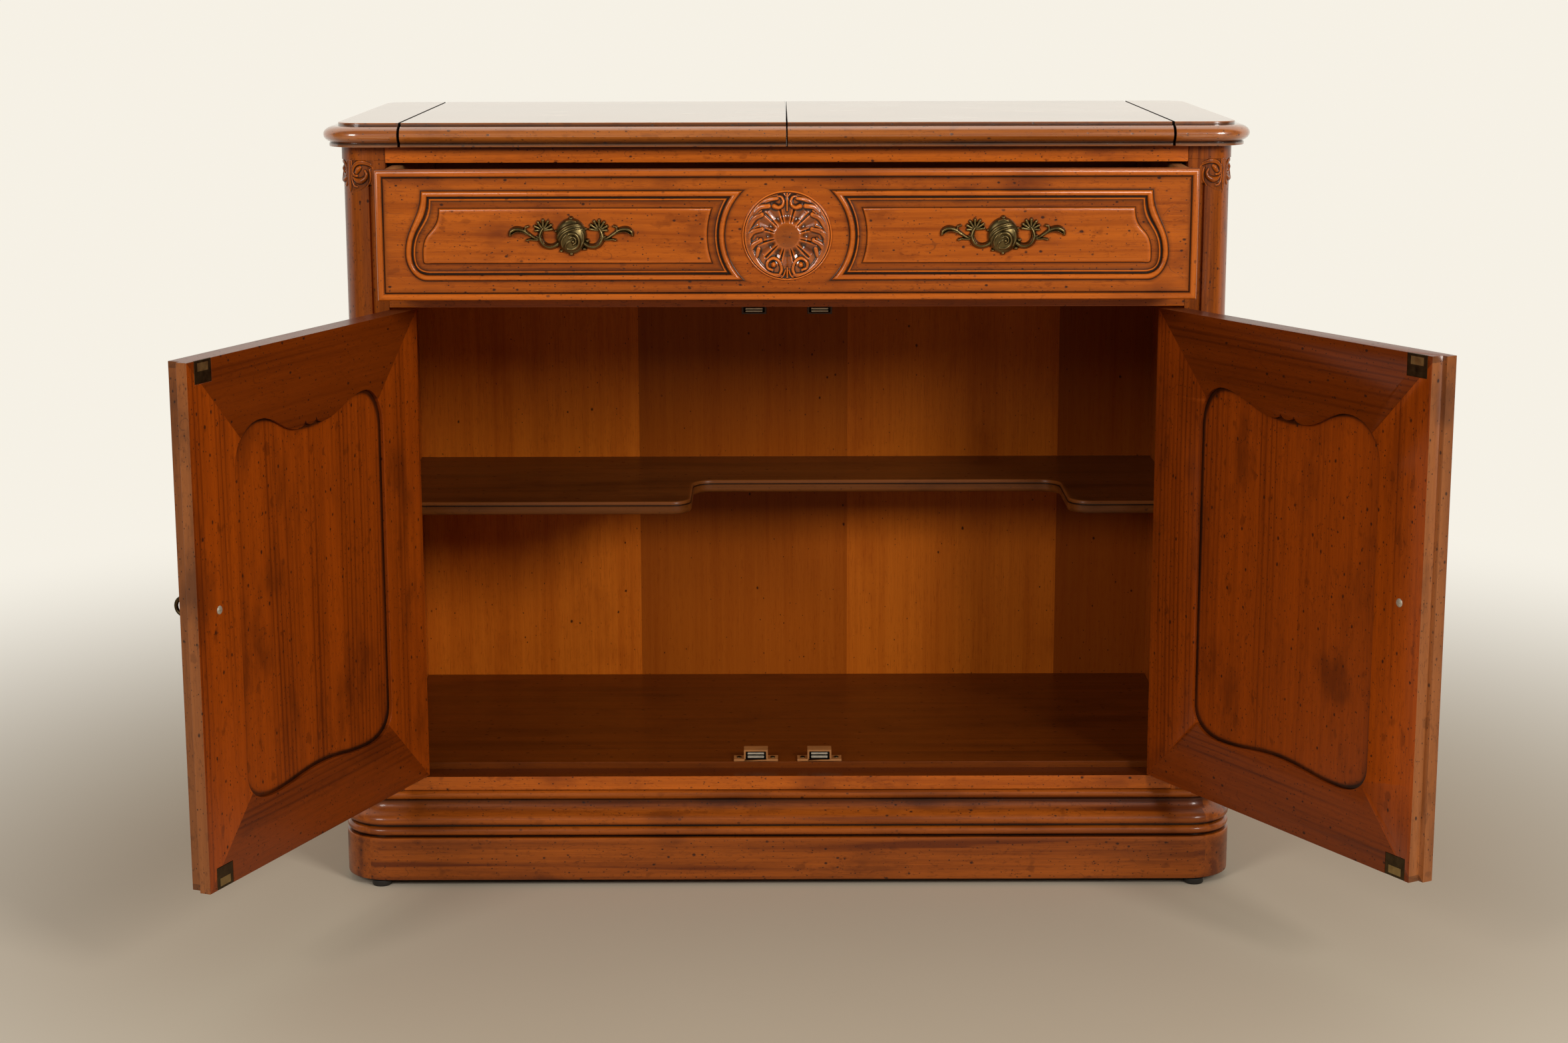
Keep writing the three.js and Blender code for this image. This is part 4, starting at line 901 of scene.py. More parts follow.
class MakeCase(bpy.types.Operator):
    """Finishes the plain boards of the case"""

    bl_idname = "cabinet.case"
    bl_label = "Case boards"

    def execute(self, context):
        for side_name, _ in SIDES:
            finish_copy(f"{side_name}_side_panel", "cherry", "cherry_side", "Z")
        finish_copy("frieze_rail", "cherry", "cherry", ("X", FRIEZE_PAINTED_LIGHT))
        finish_copy("drawer_divider_rail", "cherry", "cherry", "X")
        finish_copy("serving_deck", "cherry", "cherry", "X")
        ledge = (level("bottom_rail", 1) - edge_round() / 2) * MM
        finish_copy("bottom_rail", "cherry", "cherry", "X", ("X", LEDGE_DARKENED),
                    which=lambda c: int(c.z > ledge))
        for side_name, _ in SIDES:
            finish_copy(f"{side_name}_drawer_runner", "drawer_wood", "drawer_wood", "Y")
        return {"FINISHED"}


# Corner posts, each a quarter column with a carved capital

COLUMN_RADIUS = 28.0
COLUMN_SET_BACK = 1.5
POST_DEPTH = 46.0
QUIRK_WIDTH = 3.4
QUIRK_DEPTH = 3.2
BLOCK_HEIGHT = 13.5
PLINTH_OUT = 18.7
CASE_HALF = half_width("plinth_frame") - PLINTH_OUT


def post_plan(outer, front, quirk):
    """Plan of the right-hand post, from the opening's edge round the column to its back."""
    centre = CASE_HALF - COLUMN_RADIUS
    radius = outer - centre
    points = [(OPENING_HALF, 0.0)]
    if quirk:
        half = QUIRK_WIDTH / 2
        hollow = arc(centre - half, 0, half, 2 * QUARTER, 0, 8)
        points += [(x, max(0.0, y / half * QUIRK_DEPTH)) for x, y in hollow]
    points += arc(centre, front + radius, radius, 3 * QUARTER, 4 * QUARTER, 24)
    points += [(outer, POST_DEPTH), (OPENING_HALF, POST_DEPTH), (OPENING_HALF, 0.0)]
    return points


def on_column(along, height, proud, side):
    """Places on the column's face: along it from the quirk, at a height, proud of the wood."""
    centre = CASE_HALF - COLUMN_RADIUS
    angle = np.maximum(along, 0) / COLUMN_RADIUS
    reach = COLUMN_RADIUS - COLUMN_SET_BACK + proud
    x = np.where(along < 0, centre + along, centre + reach * np.sin(angle))
    y = np.where(along < 0, COLUMN_SET_BACK - proud, COLUMN_RADIUS - reach * np.cos(angle))
    return np.stack([MIDDLE_X + side * x * MM, FRONT_Y + y * MM, height * MM], axis=1)


# Strokes of the capital: along the face, height below the case top, half width and height
CAPITAL_SCROLL = ((-6.6, -23.5, 1.0, 1.2), (-4.6, -19.4, 1.9, 2.6), (-0.6, -16.8, 2.5, 3.4),
                  (5.2, -15.4, 2.7, 3.7), (11.3, -16.2, 2.6, 3.7), (16.0, -19.8, 2.3, 3.5),
                  (17.6, -24.6, 2.0, 3.2), (15.6, -28.0, 1.7, 3.0), (12.2, -28.6, 1.6, 3.0))
CAPITAL_EYE = ((8.6, -20.4, 2.3, 3.2), (10.6, -22.3, 3.1, 4.6), (12.6, -25.0, 2.6, 3.8))
CAPITAL_CURL = ((3.2, -23.6, 1.4, 2.4), (1.9, -27.0, 2.0, 3.2), (3.4, -31.0, 2.7, 4.0),
                (8.0, -33.6, 3.3, 4.8), (12.8, -33.0, 2.7, 4.0), (16.2, -30.6, 1.6, 2.6))
CAPITAL_STRAND = ((-1.2, -22.5, 1.2, 1.8), (-2.2, -28.0, 1.3, 1.9), (-1.6, -34.0, 1.2, 1.6),
                  (1.6, -39.0, 1.0, 1.2))
CAPITAL_LEAF = ((22.0, -14.2, 2.6, 3.0), (22.0, -24.0, 3.2, 3.8), (22.0, -34.0, 3.4, 4.0),
                (22.0, -41.0, 2.6, 3.2), (22.0, -44.6, 1.2, 1.6))
CAPITAL_LEAF_SIDE = ((18.9, -14.2, 1.3, 2.2), (18.6, -24.0, 1.4, 2.4), (18.0, -33.0, 1.5, 2.6),
                     (15.6, -38.2, 1.5, 2.6), (12.2, -39.4, 1.2, 1.8))

# The block over the capital ends in an arch, and an apron hangs from it behind the strokes
CAPITAL_FLATTENED = 0.62
CAPITAL_COLUMNS = 190
CAPITAL_ROWS = 132
CAPITAL_DROP = 52.0
CAPITAL_OVERLAP = 0.4
CAPITAL_FROM = -5.2
CAPITAL_PAST_SIDE = 1.5
CAPITAL_BACK = 2.2
CAPITAL_BURIED = -0.3
APRON_DROP = 36.5
APRON_SLOPE = 0.42
APRON_WAVE = 2.2
APRON_EDGE = 2.4
APRON_FROM = -3.2
APRON_PROUD = 0.9
APRON_SUNK = 0.35
ARCH_RISE = 10.5
ARCH_REACH = 10.0
ARCH_FROM = 4.5
ARCH_EDGE = 0.7
BLOCK_PROUD = COLUMN_SET_BACK + 0.06
BURIED = -1.0


def capital_height(along, height):
    """Relief of a capital over its column. The side face mirrors the front across the corner."""
    half = COLUMN_RADIUS * QUARTER / 2
    a = half - np.abs(along - half)
    b = height - CASE_TOP
    wave = APRON_WAVE * np.sin(np.clip(a / half, 0, 1) * 2 * QUARTER)
    apron_edge = -APRON_DROP - APRON_SLOPE * np.maximum(a, 0) - wave
    rounded = np.clip((b - apron_edge) / APRON_EDGE + 0.5, 0, 1) ** 0.6
    apron = APRON_PROUD * rounded * (a > APRON_FROM) - APRON_SUNK
    arch = -BLOCK_HEIGHT - ARCH_RISE * np.clip((ARCH_FROM - a) / ARCH_REACH, 0, 1) ** 2
    block = np.where(b > arch + ARCH_EDGE, BLOCK_PROUD, BURIED)
    rise = np.maximum(apron, block)
    lift = np.maximum(apron, 0)
    for points, crease in ((CAPITAL_SCROLL, 0.9), (CAPITAL_EYE, 0), (CAPITAL_CURL, 0),
                           (CAPITAL_STRAND, 0), (CAPITAL_LEAF, 1.3), (CAPITAL_LEAF_SIDE, 0)):
        raised_by = CAPITAL_FLATTENED * stroke(a, b, points, crease)
        rise = np.where(raised_by > 0, np.maximum(rise, lift * 0.5 + raised_by), rise)
    return rise


def add_capital(name, side):
    columns, rows = CAPITAL_COLUMNS, CAPITAL_ROWS
    along, height = cells((CAPITAL_FROM, COLUMN_RADIUS * QUARTER + CAPITAL_PAST_SIDE),
                          (CASE_TOP - CAPITAL_DROP, CASE_TOP - BLOCK_HEIGHT + CAPITAL_OVERLAP), columns, rows)
    proud = capital_height(along, height)
    # Glaze with painted shade in the carving's hollows, a painted highlight on its ridges, and darker all
    # over.
    shade = np.clip(hollows(proud, columns, rows, 0.45, 10) * 1.9 + 0.25, -1, 1)
    places = on_column(along, height, proud, side)
    piece = add_relief(name, columns, rows, places, shade, proud < CAPITAL_BURIED)
    return close_back(piece, (-side * CAPITAL_BACK * MM, CAPITAL_BACK * MM, 0))


class MakePosts(bpy.types.Operator):
    """Makes the two corner posts and their carved capitals"""

    bl_idname = "cabinet.posts"
    bl_label = "Corner posts"

    def execute(self, context):
        for side_name, side in SIDES:
            parts = []
            for outer, front, quirk, low, high in (
                    (CASE_HALF, COLUMN_SET_BACK, True, BASE_TOP, CASE_TOP - BLOCK_HEIGHT),
                    (CASE_HALF + COLUMN_SET_BACK, 0.0, False, CASE_TOP - BLOCK_HEIGHT, CASE_TOP)):
                plan = post_plan(outer, front, quirk)
                rings = [[at(side * x, y, z) for x, y in plan] for z in (low, high)]
                parts.append(add_loft(f"{side_name}_post", rings))
            leaves = [f"{side_name}_door_{place}_post_leaf" for place in ("upper", "lower")]
            cut_away(parts[0], *[mortise(leaf) for leaf in leaves])
            for part in parts:
                round_edges(part, SOFT_EDGE, angle=50)
                lay_grain(part, "Z", log=side_name)
            capital = add_capital(f"{side_name}_capital", side)
            lay_grain(capital, "Z", log=side_name)
            for piece in (join(*parts), capital):
                ready(piece, "cabinet", "cherry", finish("cherry_post"), f"{side_name}_front_post")
        return {"FINISHED"}


# Base: moulding and plinth with rounded front corners

MOULDING_WALL = 24.0
PLINTH_WALL = 22.0
POCKET_OVERRUN = 2.0
SIDE_GRAIN_WITHIN = 12.0
GLIDE_PROFILE = ((0.0, 0.0), (8.6, 0.0), (9.6, 0.5), (10.0, 1.6), (10.0, 5.4), (9.3, 6.2), (5.0, 6.6),
                 (5.0, 7.3), (0.0, 7.3))


def base_plan(out, z):
    """Ring of the base that reaches out from the case, at a height."""
    steps = 16
    straight = CASE_HALF - COLUMN_RADIUS
    radius = COLUMN_RADIUS + out
    plan = [(-CASE_HALF - out, CASE_BACK),
            *arc(-straight, COLUMN_RADIUS, radius, 2 * QUARTER, 3 * QUARTER, steps),
            *arc(straight, COLUMN_RADIUS, radius, 3 * QUARTER, 4 * QUARTER, steps),
            (CASE_HALF + out, CASE_BACK),
            (-CASE_HALF - out, CASE_BACK)]
    return [at(x, y, z) for x, y in plan]


def base_profile():
    """Reach, height, and glaze with painted shade, from the plinth up: bead, groove, ogee, upper bead."""
    low = PLINTH_TOP
    points = [(12.0, low, 1.0), (12.0, low + 2.0, 1.0)]
    points += [(x, z, -0.3 * (x - 13) / 5) for x, z in arc(14.0, low + 6.3, 4.4, -QUARTER, QUARTER, 9)]
    points += [(12.2, low + 10.9, 1.0), (12.0, low + 12.7, 1.0), (14.6, low + 12.9, 0.5)]
    points += [(x, z, s) for (x, z), s in zip(
        bend((14.6, low + 12.9), (19.6, low + 13.2), (20.0, low + 20.0), (15.6, low + 23.0), 8),
        (0.2, 0.0, -0.2, -0.3, -0.3, -0.2, -0.1, 0.0))]
    points += [(x, z, s) for (x, z), s in zip(
        bend((15.6, low + 23.0), (10.6, low + 26.4), (5.4, low + 28.0), (4.9, low + 36.3), 8),
        (0.0, 0.05, 0.1, 0.15, 0.2, 0.3, 0.5, 0.8))]
    points += [(3.2, low + 36.8, 1.0), (3.9, low + 37.6, 0.5)]
    points += [(x, z, -0.25) for x, z in arc(1.6, low + 41.4, 3.6, -QUARTER / 2, QUARTER, 7)]
    points += [(0.0, BASE_TOP, 0.6)]
    return points


def plinth_profile():
    """Reach, height, and glaze with painted shade, of the plinth, its edges eased at the floor and at the
    top.
    """
    low, high = level("plinth_frame", 0), PLINTH_TOP
    return [(17.6, low, 0.7), (18.5, low + 0.3, 0.4), (18.7, low + 1.4, 0.1), (18.7, low + 6.0, 0.0),
            (18.7, high - 5.0, 0.0), (18.7, high - 1.4, -0.3), (18.4, high - 0.4, -0.5), (17.4, high, 0.2),
            (13.0, high, 0.8)]


class MakeBase(bpy.types.Operator):
    """Makes the base moulding, the plinth and the glides"""

    bl_idname = "cabinet.base"
    bl_label = "Base"

    def execute(self, context):
        self.add_ring("base_moulding_finished", base_profile(), "base_moulding", MOULDING_WALL, 0.0)
        self.add_ring("plinth_finished", plinth_profile(), "plinth_frame", PLINTH_WALL, PLINTH_OUT)
        self.add_glides()
        return {"FINISHED"}

    def add_ring(self, name, profile, node, wall, out):
        """A frame of the base: its outside lofted, its middle cut out."""
        piece = loft_profile(name, profile, base_plan)
        inner = CASE_HALF + out - wall
        low, high = level(node, 0) - POCKET_OVERRUN, level(node, 1) + POCKET_OVERRUN
        cut_away(piece, add_board("pocket", at(-inner, wall - out, low), at(inner, CASE_BACK - wall, high)))
        smooth(piece, 35)
        corner = CASE_HALF - SIDE_GRAIN_WITHIN
        lay_grain(piece, "X", "Y", which=lambda c: int(abs(c.x - MIDDLE_X) > corner * MM))
        ready(piece, "cabinet", "cherry", finish("cherry_base"), node)

    def add_glides(self):
        for side_name, _ in SIDES:
            for end in ("front", "rear"):
                node = f"{side_name}_{end}_glide"
                low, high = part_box(node)
                centre = Vector(((low.x + high.x) / 2, (low.y + high.y) / 2, low.z))
                glide = add_turned(node + "_finished", GLIDE_PROFILE, centre)
                smooth(glide)
                ready(glide, "cabinet", "glide_nylon", finish("glide"), node)


# Folding top

TOP_REACH = 16.4
TOP_CORNER = 24.0
TOP_STEP = 3.4
TOP_NOSE = 16.8
NOSE_CENTRE = 3.3
TOP_FILLET = 3.1
TOP_FILLET_OUT = 10.8

# Ends of the slices that lie within this reach of the middle are seams, whose faces take a dark matte finish
# as painted shade in the gap
SEAM_REACH = 400.0
SEAM_EDGE = 0.45


def top_plan(out, z):
    """Ring of the whole top at a height, out from its straight parts."""
    low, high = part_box("right_top_strip")
    half = (high.x - MIDDLE_X) / MM - TOP_REACH - TOP_CORNER
    front = (low.y - FRONT_Y) / MM + TOP_REACH + TOP_CORNER
    back = (high.y - FRONT_Y) / MM - TOP_REACH - TOP_CORNER
    radius = TOP_CORNER + out
    points = []
    for quarter, (x, y) in enumerate(((half, back), (-half, back), (-half, front), (half, front))):
        points += arc(x, y, radius, quarter * QUARTER, (quarter + 1) * QUARTER, 16)
    return [at(x, y, z) for x, y in points + points[:1]]


def top_profile():
    """Reach, height, and glaze with painted shade, of the top's edge, from its underside up."""
    nose_top = TOP_SURFACE - TOP_STEP
    half = TOP_NOSE / 2
    points = [(TOP_FILLET_OUT - 3, TOP_UNDERSIDE, 0.3), (TOP_FILLET_OUT - 0.4, TOP_UNDERSIDE, 0.3),
              (TOP_FILLET_OUT, TOP_UNDERSIDE + 0.4, 0.2), (TOP_FILLET_OUT, TOP_UNDERSIDE + TOP_FILLET, 1.0)]
    for angle in np.linspace(-0.7 * QUARTER, QUARTER, 20):
        shade = -0.12 * math.cos(angle)
        if angle < -0.62 * QUARTER:
            shade = 0.9
        elif angle > 0.97 * QUARTER:
            shade = 0.75
        points.append((NOSE_CENTRE + math.cos(angle) * (TOP_REACH - NOSE_CENTRE),
                       nose_top - half + math.sin(angle) * half, shade))
    return points + [(2.2, nose_top, 0.95), (1.6, nose_top + 0.2, 0.9), (1.6, TOP_SURFACE - 0.9, 0.5),
                     (1.35, TOP_SURFACE - 0.3, -0.2), (0.8, TOP_SURFACE, -0.3), (-2.0, TOP_SURFACE, 0.0)]


def slice_of(slab, name, low_x, high_x):
    """The stretch of the slab between two upright planes."""
    piece = bpy.data.objects.new(name, slab.data.copy())
    piece.data.name = name
    bpy.context.scene.collection.objects.link(piece)
    split(piece, (((low_x, 0, 0), (-1, 0, 0)), ((high_x, 0, 0), (1, 0, 0))), use_fill=True, clear_outer=True)
    return piece


class MakeTop(bpy.types.Operator):
    """Makes the end strips and the folding leaves of the top with their concealed hinges"""

    bl_idname = "cabinet.top"
    bl_label = "Folding top"

    def execute(self, context):
        slab = loft_profile("top_slab", top_profile(), top_plan)
        for side_name, _ in SIDES:
            for node, hinge, body in ((f"{side_name}_top_strip", "fixed", "cabinet"),
                                      (f"{side_name}_top_leaf", "moving", f"{side_name}_leaf")):
                low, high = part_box(node)
                piece = slice_of(slab, node + "_finished", low.x, high.x)
                hinges = [f"{side_name}_fold_hinge_{end}_{hinge}" for end in ("front", "rear")]
                cut_away(piece, *[mortise(hinge_node) for hinge_node in hinges])
                round_edges(piece, SOFT_EDGE, angle=60)
                lay_grain(piece, "X")
                ready(piece, body, "cherry", finish("cherry_top"), node)
                seams = [x for x in (low.x, high.x) if abs(x - MIDDLE_X) < SEAM_REACH * MM]
                # The seam faces take a painted shade.
                refinish(piece, "seam", lambda c: any(abs(c.x - x) < SEAM_EDGE * MM for x in seams))
        bpy.data.objects.remove(slab)
        for side_name, _ in SIDES:
            for end in ("front", "rear"):
                for kind in ("fixed", "moving"):
                    node = f"{side_name}_fold_hinge_{end}_{kind}"
                    finish_copy(node, "antique_brass", "brass", "Y", width=SOFT_EDGE)
        return {"FINISHED"}


# Inside of the case

VENEER_JOINTS = (-168.0, -25.0, 70.0, 311.0)
VENEER_TONES = (0.24, -0.14, -0.12, 0.08, -0.24)
SHELF_RECESS_LEFT = -101.0
SHELF_RECESS_RIGHT = 297.0
SHELF_RECESS_DEPTH = 122.0
SHELF_CORNER = 22.0


def shelf_plan(inset, z):
    """Ring of the shelf at a height, its front edges drawn in by the inset."""
    low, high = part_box("shelf")
    half = (high.x - low.x) / 2 / MM
    back = (high.y - FRONT_Y) / MM
    front = (low.y - FRONT_Y) / MM + inset
    recess = front + SHELF_RECESS_DEPTH
    outer, inner = SHELF_CORNER - inset, SHELF_CORNER + inset
    left, right = SHELF_RECESS_LEFT - inset, SHELF_RECESS_RIGHT + inset
    steps = 12
    plan = [(-half, back), (-half, front),
            *arc(left - outer, front + outer, outer, 3 * QUARTER, 4 * QUARTER, steps),
            *arc(left + inner, recess - inner, inner, 2 * QUARTER, QUARTER, steps),
            *arc(right - inner, recess - inner, inner, QUARTER, 0, steps),
            *arc(right + outer, front + outer, outer, 2 * QUARTER, 3 * QUARTER, steps),
            (half, front), (half, back), (-half, back)]
    return [at(x, y, z) for x, y in plan]


def shelf_profile():
    """Inset, height, and glaze with painted shade, of the shelf's moulded edge, from its underside up."""
    low, high = level("shelf", 0), level("shelf", 1)
    return [(3.6, low, 0.3), (2.6, low, 0.3), (1.2, low + 0.5, 0.1), (0.2, low + 2.2, -0.2),
            (0.0, low + 4.4, -0.3), (0.0, low + 8.2, -0.1), (0.5, low + 8.9, 0.4), (1.7, low + 9.0, 1.0),
            (1.7, low + 9.9, 1.0), (0.9, low + 10.1, -0.4), (0.9, low + 10.9, -0.3), (1.1, low + 12.2, -0.6),
            (1.8, high - 0.3, -0.7), (2.8, high, -0.3), (5.0, high, 0.0)]


class MakeInterior(bpy.types.Operator):
    """Makes the veneered back, the floor of the case and the moulded shelf"""

    bl_idname = "cabinet.interior"
    bl_label = "Interior"

    def execute(self, context):
        self.add_back()
        finish_copy("interior_floor", "cherry_dark", "cherry_dark", "X")
        shelf = loft_profile("shelf_finished", shelf_profile(), shelf_plan)
        smooth(shelf, 35)
        lay_grain(shelf, "X")
        ready(shelf, "cabinet", "cherry_dark", finish("shelf"), "shelf")
        return {"FINISHED"}

    def add_back(self):
        back = copy_of("back_panel", "back_panel_finished")
        split(back, [(at(x, 0, 0), (1, 0, 0)) for x in VENEER_JOINTS])
        joints = [at(x, 0, 0).x for x in VENEER_JOINTS]
        lay_grain(back, *[("Z", tone) for tone in VENEER_TONES], which=lambda c: sum(c.x > x for x in joints))
        ready(back, "cabinet", "cherry", finish("cherry_inside"), "back_panel")


# Drawer

BEAD_WIDTH = 7.5
BEAD_PROUD = 2.2
SIDE_BEAD = BEAD_WIDTH + 1.2
SIDE_BEAD_TONE = -0.05
DRAWER_THICKNESS = 20.0
CARVING_HEIGHT = 676.8
CARTOUCHE_ARC = 60.0
CARTOUCHE_HALF_HEIGHT = 43.0
CARTOUCHE_OUTER = 350.0
CARTOUCHE_BULGE = 366.0
CARTOUCHE_BULGE_DROP = 17.0
CARTOUCHE_CORNER = 20.0
MEDALLION_RADIUS = 43.5
DRAWER_ROUND = 1.6
DRAWER_FRONT_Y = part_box("drawer_left_side")[0].y - DRAWER_THICKNESS * MM


def drawer_at(x, y, z):
    """A place on the pulled-out drawer: millimetres from the middle, behind its bead, above the floor."""
    return Vector((MIDDLE_X + x * MM, DRAWER_FRONT_Y + y * MM, z * MM))


def cartouche_outline(out, side):
    """Outline of a cartouche, drawn out from its edge: an arc round the medallion, a bulge and a corner."""
    steps = 18
    top = CARVING_HEIGHT + CARTOUCHE_HALF_HEIGHT + out
    bottom = CARVING_HEIGHT - CARTOUCHE_HALF_HEIGHT - out
    radius = CARTOUCHE_ARC - out
    tip = math.asin((top - CARVING_HEIGHT) / radius)
    outer, bulge = CARTOUCHE_OUTER + out, CARTOUCHE_BULGE + out
    bulge_height = CARVING_HEIGHT - CARTOUCHE_BULGE_DROP
    corner = CARTOUCHE_BULGE - CARTOUCHE_CORNER + 0.5 * out
    sweep = 0.6 * CARTOUCHE_HALF_HEIGHT
    reach = 0.6 * CARTOUCHE_CORNER
    points = [*arc(0, CARVING_HEIGHT, radius, tip, -tip, 2 * steps), (corner, bottom),
              *bend((corner, bottom), (corner + reach, bottom), (bulge, bulge_height - reach),
                    (bulge, bulge_height), steps),
              *bend((bulge, bulge_height), (bulge, bulge_height + sweep), (outer, top - sweep),
                    (outer, top), steps)]
    return [(side * x, z) for x, z in points + points[:1]]


# Inset from the cartouche's outline, height over the ground, glaze with painted shade; the first rings lie as
# a thin skirt on the ground that paints shade round the band
CARTOUCHE_PROFILE = (
    (-5.2, -0.6, 0.0), (-5.0, 0.05, 0.0), (-2.8, 0.05, 0.12), (-1.2, 0.05, 0.4), (-0.3, 0.05, 0.95),
    (0.0, 0.3, 1.0), (0.25, 1.2, 0.5), (0.9, 2.4, -0.1), (1.9, 3.2, -0.7), (3.1, 3.5, -0.35),
    (4.3, 3.1, -0.3), (5.2, 2.2, 0.1), (5.6, 1.0, 0.9), (5.9, 0.2, 1.0), (6.6, 0.08, 1.0), (7.3, 0.2, 1.0),
    (7.7, 0.9, 0.0), (8.1, 1.25, -0.8), (8.9, 1.1, -0.2), (9.4, 0.4, 0.9), (10.6, 0.12, 0.55),
    (13.5, 0.1, 0.2), (15.6, 0.1, 0.35), (16.4, 0.08, 1.0), (16.9, 0.6, 0.4), (17.5, 1.8, -0.7),
    (18.4, 2.2, -0.3), (21.0, 2.2, 0.0))

# Strokes of the medallion's left half: across, up, half width, height
WREATH_STEM = ((-6.5, -38.2, 1.6, 2.2), (-15.5, -38.0, 2.6, 2.6), (-26.5, -31.0, 3.6, 2.8),
               (-34.0, -20.0, 3.9, 2.8), (-38.2, -7.0, 3.6, 2.8), (-38.4, 6.0, 3.4, 2.6),
               (-35.2, 17.6, 3.2, 2.5), (-28.6, 27.6, 3.0, 2.3), (-19.5, 34.6, 2.6, 2.0),
               (-10.0, 38.0, 1.6, 1.4))
WREATH_LOBES = (
    ((-31.0, -22.5, 1.6, 1.6), (-28.6, -17.5, 2.0, 2.4), (-27.4, -12.4, 2.0, 3.2)),
    ((-37.0, -16.0, 2.4, 2.4), (-32.5, -9.0, 2.6, 3.2), (-25.6, -4.6, 2.2, 4.2)),
    ((-38.5, -4.0, 2.4, 2.4), (-33.0, 3.4, 2.7, 3.4), (-24.0, 6.2, 2.3, 4.4)),
    ((-37.0, 8.0, 2.4, 2.4), (-31.6, 16.4, 2.7, 3.4), (-24.2, 20.0, 2.3, 4.4)),
    ((-32.0, 20.5, 2.2, 2.2), (-25.4, 27.2, 2.6, 3.3), (-17.8, 28.2, 2.2, 4.3)),
    ((-23.5, 31.0, 2.0, 2.0), (-17.0, 34.6, 2.0, 2.6), (-9.8, 35.6, 1.5, 3.2)))
WREATH_SPLITS = (
    ((-34.5, -14.6, 0.8, 0.0), (-31.0, -8.4, 1.0, 1.4), (-28.4, -2.6, 1.2, 3.2)),
    ((-36.0, -1.0, 0.8, 0.0), (-32.4, 6.6, 1.1, 1.6), (-27.0, 9.4, 1.3, 3.6)),
    ((-34.4, 11.6, 0.8, 0.0), (-29.6, 19.6, 1.1, 1.6), (-24.6, 23.8, 1.2, 3.4)))
BOTTOM_SPIRAL = ((-7.5, -38.0, 1.6, 2.6), (-5.4, -32.2, 2.0, 3.4), (-7.6, -25.0, 2.1, 3.8),
                 (-13.4, -21.6, 2.1, 3.9), (-18.8, -25.2, 2.0, 3.8), (-18.6, -30.8, 1.8, 3.6),
                 (-14.4, -33.0, 1.6, 3.5))
SPIRAL_EYE = ((-13.0, -28.2, 2.9, 4.6), (-13.1, -27.4, 2.9, 4.6))
TOP_COMMA = ((-9.6, 37.6, 0.9, 1.6), (-5.6, 37.0, 1.4, 2.8), (-3.6, 33.2, 1.9, 3.8),
             (-4.6, 29.0, 2.3, 4.4), (-8.2, 26.9, 2.8, 5.0), (-12.2, 28.0, 3.1, 5.2))
TOP_STEM = ((0.0, 24.0, 1.2, 2.4), (0.0, 31.0, 1.5, 3.2), (0.0, 37.0, 1.3, 3.0), (0.0, 42.6, 1.1, 2.4))
TOP_BUD = ((-1.0, 37.5, 0.8, 1.6), (-3.6, 41.4, 1.1, 2.2))
BOTTOM_BUD = ((0.0, -31.0, 1.1, 2.8), (0.0, -36.0, 1.4, 3.2), (0.0, -41.8, 1.2, 2.2))
BOTTOM_LEAF = ((-1.6, -33.0, 0.9, 2.4), (-3.2, -37.6, 1.2, 2.8), (-6.4, -41.2, 1.1, 1.8))
LEAF_WIDENED = 1.35

# The medallion's sheet of cells, and the ground that the strokes lie on
MEDALLION_CELLS = 236
MEDALLION_PAST_RIM = 0.6
MEDALLION_BURIED = -2
MEDALLION_BACK = 1.6
DOME_RADIUS = 11.0
DOME_FALL = 9.0
DOME_HEIGHT = 3.4
DOME_FLATTENED = 0.4
GROUND_HEIGHT = 3.0
FLUTES = 12
FLUTE_DEPTH = 2.1
FLUTE_CROWN = 0.8
FLUTES_FROM = 12.0
FLUTES_TO = 31
STROKE_GROUND = 2.2
STROKE_SUNK = 0.3
RIM_RADIUS = 42.2
RIM_HALF = 1.3
RIM_HEIGHT = 1.6
RIM_SEAT = 0.5
BESIDE_RIM = 1.3
RIM_END = 42.9
RIM_END_WIDTH = 0.8
PAST_RIM_SUNK = 0.9

# Rises of the ground from the centre out: the radius where each starts, its width and its height
GROUND_STEPS = ((20, 9, 0.9), (29, 12, -2.4))


